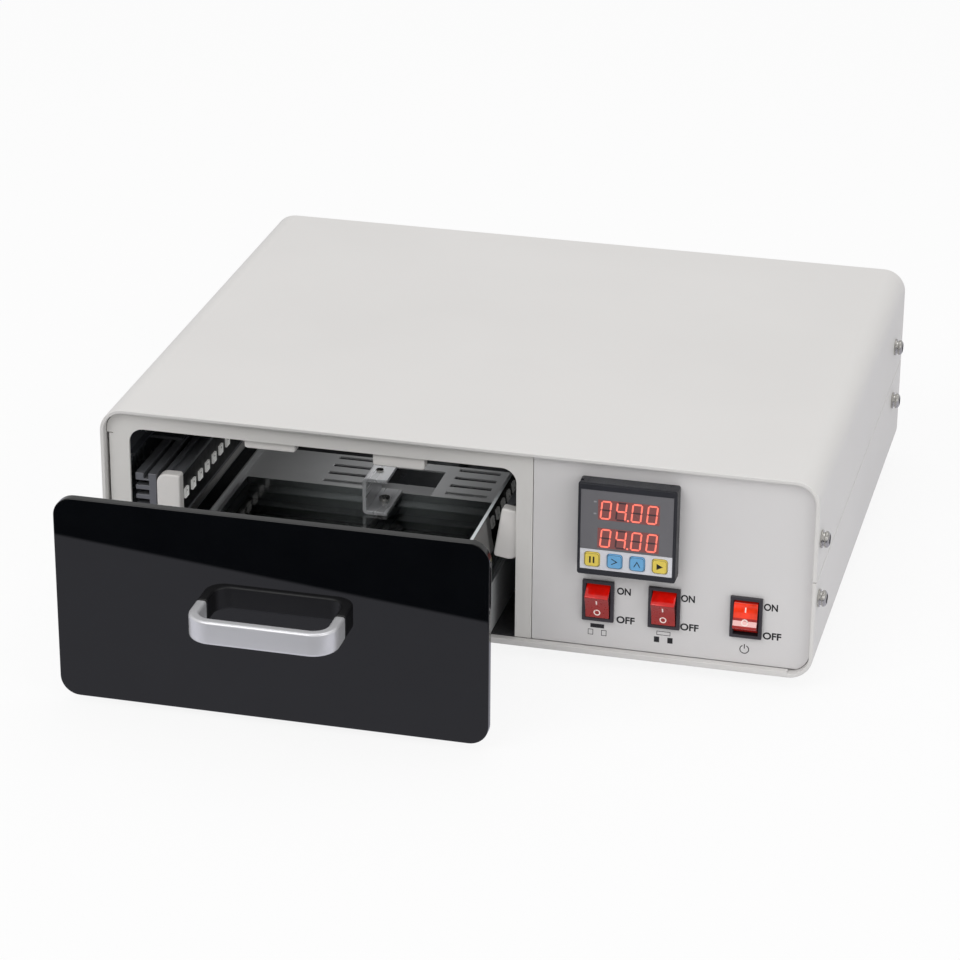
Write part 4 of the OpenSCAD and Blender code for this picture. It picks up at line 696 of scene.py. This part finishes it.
def make_floor():
    me = bpy.data.meshes.new("stage_floor")
    s = 6.0
    me.from_pydata([(-s, -s, 0), (s, -s, 0), (s, s, 0), (-s, s, 0)], [], [(0, 1, 2, 3)])
    ob = bpy.data.objects.new("stage_floor", me)
    bpy.context.scene.collection.objects.link(ob)
    mat = bpy.data.materials.new("stage_floor_white")
    nt, out = nodes_of(mat)
    N, L = nt.nodes, nt.links
    dif = N.new("ShaderNodeBsdfDiffuse")
    dif.inputs[0].default_value = (0.86, 0.86, 0.86, 1)
    em = N.new("ShaderNodeEmission")
    em.inputs[0].default_value = (1, 1, 1, 1)
    em.inputs[1].default_value = 1.0
    mix = N.new("ShaderNodeMixShader")
    mix.inputs[0].default_value = 0.88
    L.new(dif.outputs[0], mix.inputs[1])
    L.new(em.outputs[0], mix.inputs[2])
    # Glossy rays see a painted reflection: dark emission in front of the edge line, bright emission on the
    # case's side of it
    dark = N.new("ShaderNodeEmission")
    dark.inputs[0].default_value = (0.03, 0.035, 0.05, 1)
    bright = N.new("ShaderNodeEmission")
    bright.inputs[0].default_value = (0.62, 0.62, 0.7, 1)
    geo = N.new("ShaderNodeNewGeometry")
    sp = N.new("ShaderNodeSeparateXYZ")
    L.new(geo.outputs["Position"], sp.inputs[0])
    mul = N.new("ShaderNodeMath")
    mul.operation = "MULTIPLY_ADD"
    L.new(sp.outputs["X"], mul.inputs[0])
    mul.inputs[1].default_value = PAINTED_REFLECTION_EDGE[2]
    mul.inputs[2].default_value = PAINTED_REFLECTION_EDGE[1] - PAINTED_REFLECTION_EDGE[2] * PAINTED_REFLECTION_EDGE[0]
    sub = N.new("ShaderNodeMath")
    sub.operation = "SUBTRACT"
    L.new(mul.outputs[0], sub.inputs[0])
    L.new(sp.outputs["Y"], sub.inputs[1])
    mr = N.new("ShaderNodeMapRange")
    mr.inputs["From Min"].default_value = -0.0015
    mr.inputs["From Max"].default_value = 0.0015
    L.new(sub.outputs[0], mr.inputs["Value"])
    lp = N.new("ShaderNodeLightPath")
    mirror = N.new("ShaderNodeMixShader")
    L.new(mr.outputs[0], mirror.inputs[0])
    L.new(bright.outputs[0], mirror.inputs[1])
    L.new(dark.outputs[0], mirror.inputs[2])
    plain = N.new("ShaderNodeBsdfDiffuse")
    plain.inputs[0].default_value = (0.8, 0.8, 0.8, 1)
    far = N.new("ShaderNodeMixShader")
    L.new(lp.outputs["Is Glossy Ray"], far.inputs[0])
    L.new(plain.outputs[0], far.inputs[1])
    L.new(mirror.outputs[0], far.inputs[2])
    cam = N.new("ShaderNodeMixShader")
    L.new(lp.outputs["Is Camera Ray"], cam.inputs[0])
    L.new(far.outputs[0], cam.inputs[1])
    L.new(mix.outputs[0], cam.inputs[2])
    L.new(cam.outputs[0], out.inputs[0])
    me.materials.append(mat)


make_floor()

world = bpy.data.worlds.new("studio")
bpy.context.scene.world = world
world.use_nodes = True
nt = world.node_tree
nt.nodes.clear()
wo = nt.nodes.new("ShaderNodeOutputWorld")
soft = nt.nodes.new("ShaderNodeBackground")
soft.inputs[0].default_value = (1.0, 1.0, 1.0, 1)
soft.inputs[1].default_value = 0.62
seen = nt.nodes.new("ShaderNodeBackground")
seen.inputs[0].default_value = (1, 1, 1, 1)
seen.inputs[1].default_value = 1.0
lp = nt.nodes.new("ShaderNodeLightPath")
wm = nt.nodes.new("ShaderNodeMixShader")
nt.links.new(lp.outputs["Is Camera Ray"], wm.inputs[0])
nt.links.new(soft.outputs[0], wm.inputs[1])
nt.links.new(seen.outputs[0], wm.inputs[2])
nt.links.new(wm.outputs[0], wo.inputs[0])


def area(name, loc, target, size, power, size_y=None):
    li = bpy.data.lights.new(name, "AREA")
    li.shape = "RECTANGLE"
    li.size = size
    li.size_y = size_y or size
    li.energy = power
    ob = bpy.data.objects.new(name, li)
    bpy.context.scene.collection.objects.link(ob)
    ob.location = loc
    ob.rotation_euler = (Vector(target) - Vector(loc)).to_track_quat("-Z", "Y").to_euler()
    ob.visible_camera = False
    return ob


area("key_light", (-0.9, -1.63, 1.9), (0, 0.02, 0.05), 1.4, 16)
area("fill_right", (1.7, -1.03, 1.0), (0.1, 0.07, 0.06), 1.2, 7)
area("top_light", (0.1, 0.37, 2.2), (0, 0.07, 0.05), 1.6, 9)

# A faint light under the bay's ceiling, between the two upper lamps, shining straight down
bay = area("bay_fill", P(BAY_MIDDLE, 150, 86), P(BAY_MIDDLE, 150, 0), 0.034, 0.042, 0.2)
bay.rotation_euler = (0, 0, 0)
bay.visible_glossy = False

# Camera from the photo: azimuth, elevation and roll in radians, distance in metres, lens in millimetres
AZ, EL, ROLL, DIST = 0.243504, 0.418147, 0.006812, 1.754989
LENS = 130.257
cam = bpy.data.cameras.new("camera")
cam.sensor_width = 36.0
cam.lens = LENS
cam.clip_start = 0.05
cam.clip_end = 30
co = bpy.data.objects.new("camera", cam)
bpy.context.scene.collection.objects.link(co)
target = P(-5.624, 79.677, 50.0)
back = Vector((math.sin(AZ) * math.cos(EL), -math.cos(AZ) * math.cos(EL), math.sin(EL)))
co.location = target + back * DIST
co.rotation_euler = ((-back).to_track_quat("-Z", "Y") @ Quaternion((0, 0, 1), ROLL)).to_euler()
bpy.context.scene.camera = co
bpy.context.scene.view_settings.view_transform = "Standard"
